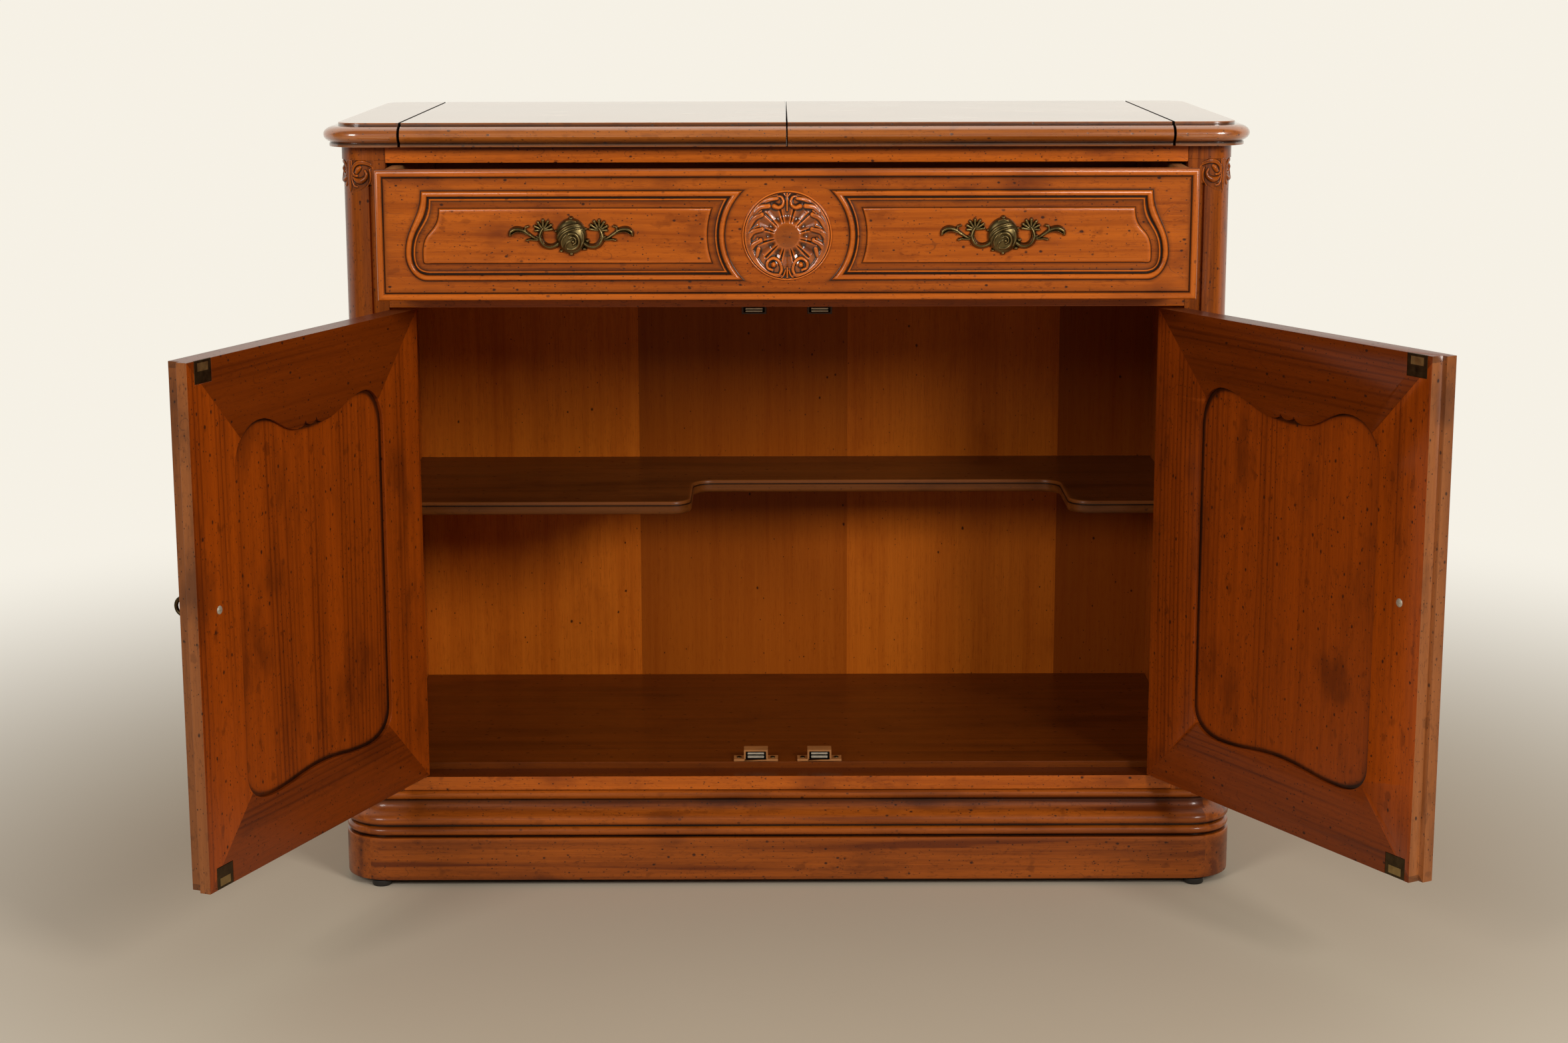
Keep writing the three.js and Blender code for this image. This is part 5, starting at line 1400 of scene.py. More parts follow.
def medallion_height(x, z):
    """Relief of the medallion over the drawer's ground: dome, flutes, wreath, scrolls and rim."""
    a = -np.abs(x)
    radius = np.hypot(x, z)
    angle = np.arctan2(z, x)
    fall = np.clip((radius - DOME_RADIUS) / DOME_FALL, 0, 1)
    ground = GROUND_HEIGHT + DOME_HEIGHT * (1 - fall * fall * (3 - 2 * fall))
    ground = ground - DOME_FLATTENED * np.clip(radius / DOME_RADIUS, 0, 1) ** 2
    for start, width, height in GROUND_STEPS:
        ground = ground + height * np.clip((radius - start) / width, 0, 1)
    sector = 4 * QUARTER / FLUTES
    off = np.abs((angle / sector) % 1 - 0.5) * sector * radius
    width = 0.9 + 0.05 * np.clip(radius - FLUTES_FROM, 0, 20)
    window = np.clip((radius - FLUTES_FROM) / 4, 0, 1) * np.clip((FLUTES_TO - radius) / 2, 0, 1)
    ground = ground - FLUTE_DEPTH * window * np.clip(1 - off / width, 0, 1)
    ground = ground + FLUTE_CROWN * window * np.cos(angle * FLUTES + 2 * QUARTER)
    rise = ground
    stem, *lobes = [[(along, up, half * LEAF_WIDENED, crest) for along, up, half, crest in points]
                    for points in (WREATH_STEM, *WREATH_LOBES)]
    layers = [(stem, 0.7), *[(lobe, 0.6) for lobe in lobes], (BOTTOM_SPIRAL, 0.5)]
    layers += [(points, 0.0) for points in (*WREATH_SPLITS, SPIRAL_EYE, TOP_COMMA, TOP_STEM, TOP_BUD,
                                            BOTTOM_BUD, BOTTOM_LEAF)]
    floor = np.minimum(ground, STROKE_GROUND)
    for points, crease in layers:
        raised_by = stroke(a, z, points, crease)
        rise = np.where(raised_by > 0, np.maximum(rise, floor - STROKE_SUNK + raised_by), rise)
    rim = RIM_HEIGHT * (1 - ((radius - RIM_RADIUS) / RIM_HALF) ** 2)
    rise = np.where(rim > 0, np.maximum(np.minimum(rise, BESIDE_RIM), RIM_SEAT + rim), rise)
    edge = np.clip((radius - RIM_END) / RIM_END_WIDTH, 0, 1)
    return rise * (1 - edge) - PAST_RIM_SUNK * edge


def add_medallion():
    """The disc is a square sheet of cells laid out on a circle, so that its rim is smooth."""
    count = MEDALLION_CELLS
    u, v = cells((-1, 1), (-1, 1), count, count)
    wide = np.abs(u) >= np.abs(v)
    reach = np.where(wide, u, v)
    ratio = np.where(wide, v / np.where(u == 0, 1, u), u / np.where(v == 0, 1, v)) * QUARTER / 2
    radius = (MEDALLION_RADIUS + MEDALLION_PAST_RIM) * reach
    x = radius * np.where(wide, np.cos(ratio), np.sin(ratio))
    z = radius * np.where(wide, np.sin(ratio), np.cos(ratio))
    height = medallion_height(x, z)
    # Glaze with painted shade in the carving's hollows, a painted highlight on its ridges, and darker all
    # over.
    shade = hollows(height, count, count, 0.6, 14) * 2.0 + 0.3
    places = np.stack([MIDDLE_X + x * MM, DRAWER_FRONT_Y + (BEAD_PROUD - height) * MM,
                       (z + CARVING_HEIGHT) * MM], axis=1)
    buried = height < MEDALLION_BURIED
    piece = add_relief("drawer_medallion", count, count, places, np.clip(shade, -1, 1), buried)
    return close_back(piece, (0, 2 * MM, 0), DRAWER_FRONT_Y + (BEAD_PROUD + MEDALLION_BACK) * MM)


def beaded_front():
    """Inset, depth behind the bead's top, and glaze with painted shade, of the drawer front."""
    half, rise = 3.1, 2.4
    points = [(0.0, DRAWER_THICKNESS, 0.2), (0.0, rise, 0.1)]
    for share in np.linspace(0.05, 1.0, 9):
        turn = share * 2 * QUARTER
        points.append((half - half * math.cos(turn), rise - rise * math.sin(turn), -0.35 * math.sin(turn)))
    return points + [(6.3, 3.0, 0.8), (6.8, 3.2, 1.0), (7.4, 2.9, 0.85), (7.9, BEAD_PROUD, 0.5),
                     (9.2, BEAD_PROUD, 0.3), (12.0, BEAD_PROUD, 0.1), (26.0, BEAD_PROUD, 0.0)]


class MakeDrawer(bpy.types.Operator):
    """Makes the drawer: its beaded front with two cartouches and the carved medallion, and its box"""

    bl_idname = "cabinet.drawer"
    bl_label = "Drawer"

    def execute(self, context):
        half, bottom, top = half_width("drawer_front"), level("drawer_front", 0), level("drawer_front", 1)

        def front_ring(inset, depth):
            left, right, low, high = inset - half, half - inset, bottom + inset, top - inset
            corners = ((left, low), (right, low), (right, high), (left, high), (left, low))
            return [drawer_at(x, depth, z) for x, z in corners]

        def in_side_bead(centre):
            beside = abs(centre.x - MIDDLE_X) > (half - SIDE_BEAD) * MM
            return int(beside and bottom + BEAD_WIDTH < centre.z / MM < top - BEAD_WIDTH)

        front = loft_profile("drawer_front_board", beaded_front(), front_ring)
        smooth(front, 35)
        lay_grain(front, "X", ("Z", SIDE_BEAD_TONE), log="drawer", which=in_side_bead)
        ready(front, "drawer", "cherry", finish("cherry"), "drawer_front")
        for side_name, side in SIDES:
            cartouche = loft_profile(
                f"drawer_{side_name}_cartouche", CARTOUCHE_PROFILE,
                lambda inset, height: [drawer_at(x, BEAD_PROUD - height, z)
                                       for x, z in cartouche_outline(-inset, side)])
            smooth(cartouche, 40)
            lay_grain(cartouche, "X", log="drawer")
            ready(cartouche, "drawer", "cherry", finish("cherry"), "drawer_front")
        medallion = add_medallion()
        lay_grain(medallion, "X", log="drawer")
        ready(medallion, "drawer", "cherry", finish("cherry_carved"), "drawer_front")
        for node, axis in (("drawer_back", "X"), ("drawer_bottom", "X"), ("drawer_left_side", "Y"),
                           ("drawer_right_side", "Y")):
            finish_copy(node, "drawer_wood", "drawer_wood", axis, width=DRAWER_ROUND)
        return {"FINISHED"}


# Cast pulls: strokes of the left wing, and of the boss, in millimetres from its centre

PULL_ARM = ((-11.0, -6.0, 2.6, 3.2), (-16.0, -9.2, 2.8, 3.8), (-21.8, -10.0, 3.0, 4.2),
            (-27.0, -7.2, 3.1, 4.4), (-29.8, -1.6, 2.9, 4.2), (-28.8, 4.0, 2.4, 3.8),
            (-27.0, 7.4, 1.8, 3.2))
PULL_ARM_LINE = ((-17.0, -8.6, 0.7, 5.0), (-22.0, -8.9, 0.8, 5.3), (-26.0, -6.6, 0.8, 5.4),
                 (-28.2, -1.6, 0.8, 5.2), (-27.4, 3.6, 0.6, 4.6))
FAN_TIPS = ((-35.2, 5.6), (-35.6, 10.2), (-32.4, 14.6), (-27.0, 16.8), (-21.4, 15.6), (-17.8, 11.6),
            (-17.0, 7.0))
FAN_FOOT = (-26.8, 5.2)
PULL_LEAF = ((-30.0, -2.6, 1.8, 2.8), (-35.0, -1.6, 1.7, 2.8), (-41.0, 2.4, 2.0, 3.0),
             (-47.0, 5.8, 2.8, 3.4), (-53.0, 6.6, 3.0, 3.6), (-57.6, 4.2, 2.4, 3.4), (-58.6, 0.8, 1.7, 3.0))
PULL_LEAF_EDGE = ((-40.0, 1.0, 0.7, 3.2), (-46.0, 3.6, 0.8, 4.4), (-52.0, 4.2, 0.9, 4.6),
                  (-57.0, 1.6, 0.8, 4.0))
PULL_CURL = ((-41.0, 2.6, 1.4, 2.6), (-43.8, 5.4, 1.3, 2.8), (-43.4, 8.6, 1.4, 3.2), (-40.8, 9.4, 1.6, 3.6))
PULL_TENDRIL = ((-31.6, -3.6, 1.4, 2.6), (-35.6, -3.6, 1.3, 2.6), (-39.6, -3.2, 1.3, 2.8),
                (-42.4, -4.0, 1.7, 3.4))
PULL_KNOT = ((-31.2, -0.6, 1.5, 4.2), (-32.6, -0.4, 1.4, 4.0))
FAN_TIP_SHARE = 0.86
BOSS_HALF_WIDTH = 15.0
BOSS_HALF_HEIGHT = 17.4
BOSS_PROUD = 7.6
BOSS_STROKES = (
    ((-4.4, -0.6, 1.0, 0.6), (-2.0, 2.4, 1.5, 1.4), (2.6, 3.0, 1.8, 1.7), (6.6, 0.2, 1.9, 1.8),
     (8.0, -4.8, 1.9, 1.8), (6.2, -9.8, 1.7, 1.6), (1.8, -12.4, 1.4, 1.3), (-3.4, -12.2, 1.0, 0.8)),
    ((-1.4, -2.0, 0.9, 0.8), (1.6, -0.4, 1.2, 1.3), (4.4, -2.2, 1.2, 1.5), (4.8, -5.6, 1.2, 1.6),
     (2.4, -7.4, 1.2, 1.5)),
    ((1.8, -4.6, 1.7, 2.0), (2.4, -4.9, 1.7, 2.0)),
    ((9.4, 8.0, 0.9, 0.8), (3.6, 7.4, 1.2, 1.2), (-2.6, 5.6, 1.3, 1.3), (-8.4, 1.8, 1.3, 1.2),
     (-12.0, -3.4, 1.0, 0.9)),
    ((7.4, 11.6, 0.9, 0.8), (1.2, 11.0, 1.2, 1.2), (-5.0, 8.8, 1.3, 1.3), (-10.2, 5.0, 1.2, 1.1),
     (-13.0, 0.6, 0.9, 0.8)),
    ((-3.4, 2.2, 0.8, 0.6), (-7.2, -1.0, 1.1, 1.1), (-9.2, -5.4, 1.2, 1.2), (-8.6, -10.0, 1.0, 1.0)),
    ((-1.0, -4.4, 0.8, 0.6), (-4.2, -6.6, 1.0, 1.0), (-5.6, -9.8, 1.0, 0.9)),
    ((10.6, 5.4, 0.8, 0.7), (12.2, 0.6, 1.1, 1.1), (12.0, -4.8, 1.1, 1.1), (9.8, -9.6, 1.0, 0.9)),
    ((4.6, 14.4, 1.0, 1.2), (0.0, 15.6, 1.3, 1.6), (-4.6, 14.4, 1.0, 1.2)))
BOSS_BEADS = ((0.0, 17.0, 2.2, 3.4), (0.0, -17.0, 2.1, 3.2), (-13.4, -8.6, 1.9, 3.2),
              (15.6, -4.4, 2.1, 3.6), (12.6, -12.2, 2.0, 3.2), (-14.6, 5.0, 1.4, 2.4),
              (14.2, 7.0, 1.4, 2.4), (-9.8, -14.2, 1.6, 2.8))
BOSS_STROKE_SUNK = 0.2
BOSS_BEAD_HALF = 0.4
PULL_COLUMNS = 400
PULL_ROWS = 124
PULL_HALF_WIDTH = 61
PULL_HALF_HEIGHT = 19.2
PULL_BURIED = -0.35
PULL_BACK = 0.9


def fan_blade(tip_x, tip_z):
    """Stroke of a blade of the fan, from its foot to near its tip."""
    foot_x, foot_z = FAN_FOOT
    middle = ((foot_x + tip_x) / 2, (foot_z + tip_z) / 2)
    end = (foot_x + FAN_TIP_SHARE * (tip_x - foot_x), foot_z + FAN_TIP_SHARE * (tip_z - foot_z))
    return ((foot_x, foot_z, 0.9, 2.0), (*middle, 1.5, 2.5), (*end, 1.9, 3.4))


def pull_height(x, z):
    """Relief of a cast pull. The wings mirror each other and the boss has its own swirl."""
    a = -np.abs(x)
    strokes = [(points, 0.0) for points in (PULL_ARM, PULL_ARM_LINE, PULL_LEAF, PULL_LEAF_EDGE, PULL_CURL,
                                            PULL_TENDRIL, PULL_KNOT)]
    strokes += [(fan_blade(*tip), 0.5) for tip in FAN_TIPS]
    rise = np.full(x.shape, BURIED)
    for points, crease in strokes:
        rise = np.maximum(rise, stroke(a, z, points, crease))
    inside = 1 - (x / BOSS_HALF_WIDTH) ** 2 - (z / BOSS_HALF_HEIGHT) ** 2
    dome = np.where(inside > 0, BOSS_PROUD * np.sqrt(np.maximum(inside, 0)), BURIED)
    carved = dome
    for points in BOSS_STROKES:
        raised_by = stroke(x, z, points)
        cut = np.maximum(carved, dome - BOSS_STROKE_SUNK + raised_by)
        carved = np.where((raised_by > 0) & (inside > 0), cut, carved)
    rise = np.maximum(rise, carved)
    for bead_x, bead_z, width, height in BOSS_BEADS:
        bead = [(bead_x + off, bead_z, width, height) for off in (-BOSS_BEAD_HALF, BOSS_BEAD_HALF)]
        rise = np.maximum(rise, stroke(x, z, bead))
    return rise


class MakeDrawerPulls(bpy.types.Operator):
    """Makes the two cast pulls of the drawer"""

    bl_idname = "cabinet.drawer_pulls"
    bl_label = "Drawer pulls"

    def execute(self, context):
        columns, rows = PULL_COLUMNS, PULL_ROWS
        x, z = cells((-PULL_HALF_WIDTH, PULL_HALF_WIDTH), (-PULL_HALF_HEIGHT, PULL_HALF_HEIGHT),
                     columns, rows)
        height = pull_height(x, z)
        shade = np.clip(hollows(height, columns, rows, 1.0, 10) * 1.3, -1, 1)
        for side_name, _ in SIDES:
            node = f"drawer_{side_name}_pull"
            low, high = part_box(node)
            centre = (low + high) / 2
            places = np.stack([centre.x + x * MM, high.y - height * MM, centre.z + z * MM], axis=1)
            piece = add_relief(node + "_finished", columns, rows, places, shade, height < PULL_BURIED)
            close_back(piece, (0, 1.2 * MM, 0), high.y + PULL_BACK * MM)
            ready(piece, "drawer", "antique_brass", finish("brass"), node)
        return {"FINISHED"}


# Doors, drawn from the hinge pin: across to the meeting edge, front to back, and up

DOOR_THICKNESS = 22.7
DOOR_HINGE_EDGE = -3.7
DOOR_LIP_OVER = 5.8
PANEL_BACK = 19.0
GROOVE_FRONT = 8.0
GROOVE_DEPTH = 8.0
SIGHT_WIDTH = 6.0
SIGHT_DEPTH = 6.0
REST_GAP = 0.3
BARREL_NOTCH = 3.3
HINGE_LEAF = 1.6
HINGE_LEAF_DEPTH = 19.0
STRIKE_SIZE = (25.5, 20.5, 1.2)
STRIKE_FROM_EDGE = 12.0
STEP_OFF_MIDDLE = 0.5
CUT_OVERRUN = 2.0
OVERLAP = 0.1
FREE_EDGE = 0.9
DOOR_EDGE = 0.7

# Sight edge of the frame, from the door's own edges
HINGE_STILE = 67.0
FREE_STILE = 64.6
CROWN_DROP = 66.0
DIP_DROP = 84.2
SHOULDER_DROP = 42.0
FOOT_HEIGHT = 63.0
RISE_HEIGHT = 69.5
ANKLE_HEIGHT = 30.0
FIRST_CROWN_SHARE = 0.13
SECOND_CROWN_SHARE = 0.17

# Moulding of the sight edge, as shares of its width and of its depth
SIGHT_SHARES = ((1.0, 0.0), (0.9, 0.25), (0.66, 0.5), (0.3, 0.72), (0.0, 1.0))

# Inner end of each mitre line, across from the hinge pin or back from the middle, and its height
HINGE_TOP_MITRE = (62.0, 533.0)
FREE_TOP_MITRE = (75.0, 536.0)
HINGE_BOTTOM_MITRE = (64.0, 178.0)
FREE_BOTTOM_MITRE = (68.0, 178.0)

# The frame's members and the panel: the axis of their fibres and their tone
TOP_RAIL = ("X", -0.2)
BOTTOM_RAIL = ("X", -0.16)
HINGE_STILE_BOARD = ("Z", 0.0)
FREE_STILE_BOARD = ("Z", 0.1)
PANEL_BOARD = ("Z", 0.02)


class Door:
    """Places and sizes of one door."""

    def __init__(self, side_name, side):
        self.name = side_name
        self.body = f"{side_name}_door"
        self.side = side
        joint = JOINTS[f"{side_name}_door_hinge"]
        self.pin = Vector((joint["pos_m"][0], joint["pos_m"][1], 0))
        self.turn = side * math.radians(-joint["range_deg"][0])
        self.middle = abs(joint["pos_m"][0] - MIDDLE_X) / MM
        lip_in_front = side > 0
        off_middle = STEP_OFF_MIDDLE if lip_in_front else -STEP_OFF_MIDDLE
        self.shoulder = self.middle - DOOR_LIP_OVER / 2 - STEP_OFF_MIDDLE
        self.lip = self.middle + DOOR_LIP_OVER / 2 - STEP_OFF_MIDDLE
        self.front_end = self.lip if lip_in_front else self.shoulder
        self.back_end = self.shoulder if lip_in_front else self.lip
        self.step = DOOR_THICKNESS / 2 - off_middle
        self.bottom = level(f"{side_name}_door_frame", 0)
        self.top = level(f"{side_name}_door_frame", 1)

    def place(self, piece):
        """Swings a piece that was drawn at the pin to where the door stands open."""
        flip = Matrix.Diagonal((-self.side, 1, 1, 1))
        piece.data.transform(Matrix.Translation(self.pin) @ Matrix.Rotation(self.turn, 4, "Z") @ flip)
        edit(piece)
        face_outwards()
        leave_edit()

    def as_drawn(self, place):
        """Where a place of the open door lay before the door was swung."""
        turned = Matrix.Rotation(-self.turn, 3, "Z") @ (place - self.pin)
        return Vector((-self.side * turned.x, turned.y, turned.z))

    def outline(self, out, cusps):
        """Sight edge of the frame: two crowns with a dip between them, which has two small cusps inside."""
        steps = 12
        left, right = HINGE_STILE - out, self.middle - FREE_STILE + out
        crown, dip = self.top - CROWN_DROP + out, self.top - DIP_DROP + out
        shoulder = crown - SHOULDER_DROP
        foot, rise = self.bottom + FOOT_HEIGHT - out, self.bottom + RISE_HEIGHT - out
        ankle = foot + ANKLE_HEIGHT
        first = left + FIRST_CROWN_SHARE * (right - left)
        second = right - SECOND_CROWN_SHARE * (right - left)
        middle = (left + right) / 2
        upper = [((left, shoulder + 24), (first - 20, crown), (first, crown), steps)]
        if cusps:
            upper += [((first + 26, crown), (middle - 46, dip), (middle - 21, dip), steps),
                      ((middle - 15, dip), (middle - 11, dip + 1.6), (middle - 9.6, dip + 5.4), 6),
                      ((middle - 8.4, dip + 2.8), (middle - 6, dip + 0.6), (middle, dip + 0.4), 5),
                      ((middle + 6, dip + 0.6), (middle + 8.4, dip + 2.4), (middle + 9.6, dip + 5.0), 5),
                      ((middle + 11, dip + 1.2), (middle + 15, dip - 0.8), (middle + 23, dip - 0.8), 6),
                      ((middle + 46, dip - 0.8), (second - 26, crown), (second, crown), steps)]
        else:
            upper += [((first + 32, crown), (middle - 40, dip), (middle, dip), 2 * steps),
                      ((middle + 40, dip), (second - 32, crown), (second, crown), 2 * steps)]
        upper += [((second + 24, crown), (right, shoulder + 24), (right, shoulder), steps)]
        lower = [((right, ankle - 18), (right - 14, foot), (right - 44, foot), steps),
                 ((right - 76, foot), (middle + 34, rise), (middle, rise), steps),
                 ((middle - 34, rise), (left + 76, foot), (left + 44, foot), steps),
                 ((left + 14, foot), (left, ankle - 18), (left, ankle), steps)]
        return follow(follow([(left, ankle), (left, shoulder)], upper) + [(right, ankle)], lower)

    def loft(self, name, rings, cusps=False, shades=None):
        """A body through sight edges, each given as its offset and its depth from the door's front."""
        return add_loft(name, [[Vector((x, depth, z)) * MM for x, z in self.outline(out, cusps)]
                               for out, depth in rings], shades)

    def board(self, name, low, high):
        return add_board(name, Vector(low) * MM, Vector(high) * MM)

    def hinge_heights(self):
        boxes = [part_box(f"{self.name}_door_{place}_door_leaf") for place in ("upper", "lower")]
        return [(low.z / MM, high.z / MM) for low, high in boxes]

    def strike_heights(self):
        return [(self.top - STRIKE_SIZE[1], self.top), (self.bottom, self.bottom + STRIKE_SIZE[1])]


def add_door_frame(door):
    """A rebated frame with its moulded opening, its groove and the beds of its hardware cut out."""
    plan = [(DOOR_HINGE_EDGE, 0), (door.front_end, 0), (door.front_end, door.step),
            (door.back_end, door.step), (door.back_end, DOOR_THICKNESS), (DOOR_HINGE_EDGE, DOOR_THICKNESS),
            (DOOR_HINGE_EDGE, 0)]
    rings = [[Vector((x, y, z)) * MM for x, y in plan] for z in (door.bottom, door.top)]
    piece = add_loft(f"{door.name}_door_frame_finished", rings)
    edge = [(width * SIGHT_WIDTH, depth * SIGHT_DEPTH) for width, depth in SIGHT_SHARES]
    front = door.loft("front_opening", [(SIGHT_WIDTH, -CUT_OVERRUN), *edge, (0.0, GROOVE_FRONT + OVERLAP)])
    groove = door.loft("groove", ((GROOVE_DEPTH, GROOVE_FRONT), (GROOVE_DEPTH, PANEL_BACK)))
    # The walls of the panel's recess take a painted shade from this cutter.
    inside = door.loft("inside_opening", ((0.0, PANEL_BACK - OVERLAP), (0.0, DOOR_THICKNESS),
                                          (0.0, DOOR_THICKNESS + CUT_OVERRUN)),
                       cusps=True, shades=(1.0, 0.7, 0.7))
    cutters = [front, groove, inside]
    start = DOOR_HINGE_EDGE - CUT_OVERRUN
    for low, high in door.hinge_heights():
        low, high = low - REST_GAP, high + REST_GAP
        leaf_end = (DOOR_HINGE_EDGE + HINGE_LEAF + REST_GAP, HINGE_LEAF_DEPTH + REST_GAP, high)
        cutters.append(door.board("mortise", (start, -CUT_OVERRUN, low), leaf_end))
        cutters.append(door.board("notch", (start, -CUT_OVERRUN, low), (BARREL_NOTCH, BARREL_NOTCH, high)))
    width, _, thickness = STRIKE_SIZE
    end = door.lip - STRIKE_FROM_EDGE
    for low, high in door.strike_heights():
        bed = DOOR_THICKNESS - thickness - REST_GAP
        cutters.append(door.board("recess", (end - width - REST_GAP, bed, low - REST_GAP),
                                  (end + REST_GAP, DOOR_THICKNESS + CUT_OVERRUN, high + REST_GAP)))
    cut_away(piece, *cutters)
    corners = {}
    for place, height, hinge_end, (from_middle, free_height) in (
            ("top", door.top, HINGE_TOP_MITRE, FREE_TOP_MITRE),
            ("bottom", door.bottom, HINGE_BOTTOM_MITRE, FREE_BOTTOM_MITRE)):
        corners[f"hinge_{place}"] = ((DOOR_HINGE_EDGE, height), hinge_end)
        corners[f"free_{place}"] = ((door.lip, height), (door.middle - from_middle, free_height))
    split(piece, [(Vector((x0, 0, z0)) * MM, (z1 - z0, 0, x0 - x1))
                  for (x0, z0), (x1, z1) in corners.values()])

    def above(corner, x, z):
        (x0, z0), (x1, z1) = corners[corner]
        return z > z0 + (z1 - z0) * (x - x0) / (x1 - x0)

    def member(centre):
        x, z = centre.x / MM, centre.z / MM
        if above("hinge_top", x, z) and above("free_top", x, z):
            return 0
        if not above("hinge_bottom", x, z) and not above("free_bottom", x, z):
            return 1
        return 2 if x < door.middle / 2 else 3

    round_edges(piece, DOOR_EDGE, angle=50)
    lay_grain(piece, TOP_RAIL, BOTTOM_RAIL, HINGE_STILE_BOARD, FREE_STILE_BOARD, which=member)
    return piece


def add_door_panel(door):
    """A panel whose tongue sits in the frame's groove and whose field is raised on the front."""
    front = GROOVE_FRONT + REST_GAP
    back = PANEL_BACK - REST_GAP
    tongue = GROOVE_DEPTH - REST_GAP
    field = front - 5.3
    rings = ((-8.0, back), (-4.8, back), (-2.4, back), (tongue, back), (tongue, front), (1.0, front),
             (-4.2, front), (-9.0, front - 0.5), (-13.5, front - 1.8), (-18.0, front - 4.0),
             (-20.0, front - 5.1), (-21.0, field), (-24.0, field))
    # Glaze with painted shade on the panel next to the frame, front and back.
    shades = (0.0, 0.15, 0.9, 1.0, 0.0, 0.9, 0.5, 0.2, 0.1, 0.0, -0.4, -0.2, 0.0)
    piece = door.loft(f"{door.name}_door_panel_finished", rings, shades=shades)
    smooth(piece, 35)
    lay_grain(piece, PANEL_BOARD)
    return piece


class MakeDoors(bpy.types.Operator):
    """Makes the two door frames and their shaped panels"""

    bl_idname = "cabinet.doors"
    bl_label = "Doors"

    def execute(self, context):
        for side_name, side in SIDES:
            door = Door(side_name, side)
            surround = add_door_frame(door)
            for piece, kind in ((surround, "frame"), (add_door_panel(door), "panel")):
                door.place(piece)
                ready(piece, door.body, "cherry", finish("cherry_door"), f"{door.body}_{kind}")
            # The meeting edge takes the greyer finish, a painted reflection.
            reflection_from = (door.shoulder - FREE_EDGE) * MM
            refinish(surround, "cherry_edge_reflection", lambda c: door.as_drawn(c).x > reflection_from)
        return {"FINISHED"}


# Screws and door furniture

SCREW_RADIUS = 2.6
PULL_SCREW_RADIUS = 4.0
SCREW_PITCH = 1.3
STRIKE_SCREW_OFF = 4.0
STRIKE_EDGE = 0.35
HINGE_EDGE = 0.2
PULL_FROM_MIDDLE = 31.5
RING_RADIUS = 8.0
RING_THICKNESS = 1.9
RING_REACH = 15.0

# Patch of a strike that the catch rubs: from its outer end, to its inner end, and half its width
PATCH_FROM = 2.4
PATCH_TO = 9.8
PATCH_HALF = 8.2

# Outline of a ring pull's round base, as radius and height from its seat on the door
PULL_BASE = ((0.0, 0.0), (10.4, 0.0), (11.0, 0.5), (11.0, 1.1), (10.2, 1.7), (8.8, 1.9), (8.4, 2.4),
             (5.2, 2.7), (3.6, 3.4), (2.8, 4.8), (2.7, 6.4), (3.2, 7.6), (2.8, 8.9), (0.0, 9.0))


def add_screw(name, radius):
    """A domed, slotted screw head at the origin that looks along the Y axis to its back."""
    profile = ((0.0, 0.0), (radius, 0.0), (radius, 0.25), (radius * 0.93, 0.6), (radius * 0.7, 1.0),
               (radius * 0.4, 1.2), (0.0, 1.28))
    head = add_turned(name, profile, axis="Y", sides=28)
    head.data.transform(Matrix.Rotation(2 * QUARTER, 4, "Z"))
    half_length, half_width_of_slot = radius * 1.2, radius * 0.13
    slot = add_board("slot", Vector((-half_length, 0.75, -half_width_of_slot)) * MM,
                     Vector((half_length, 3.0, half_width_of_slot)) * MM)
    slot.data.transform(Matrix.Rotation(math.radians(35), 4, "Y"))
    cut_away(head, slot)
    smooth(head, 40)
    return head


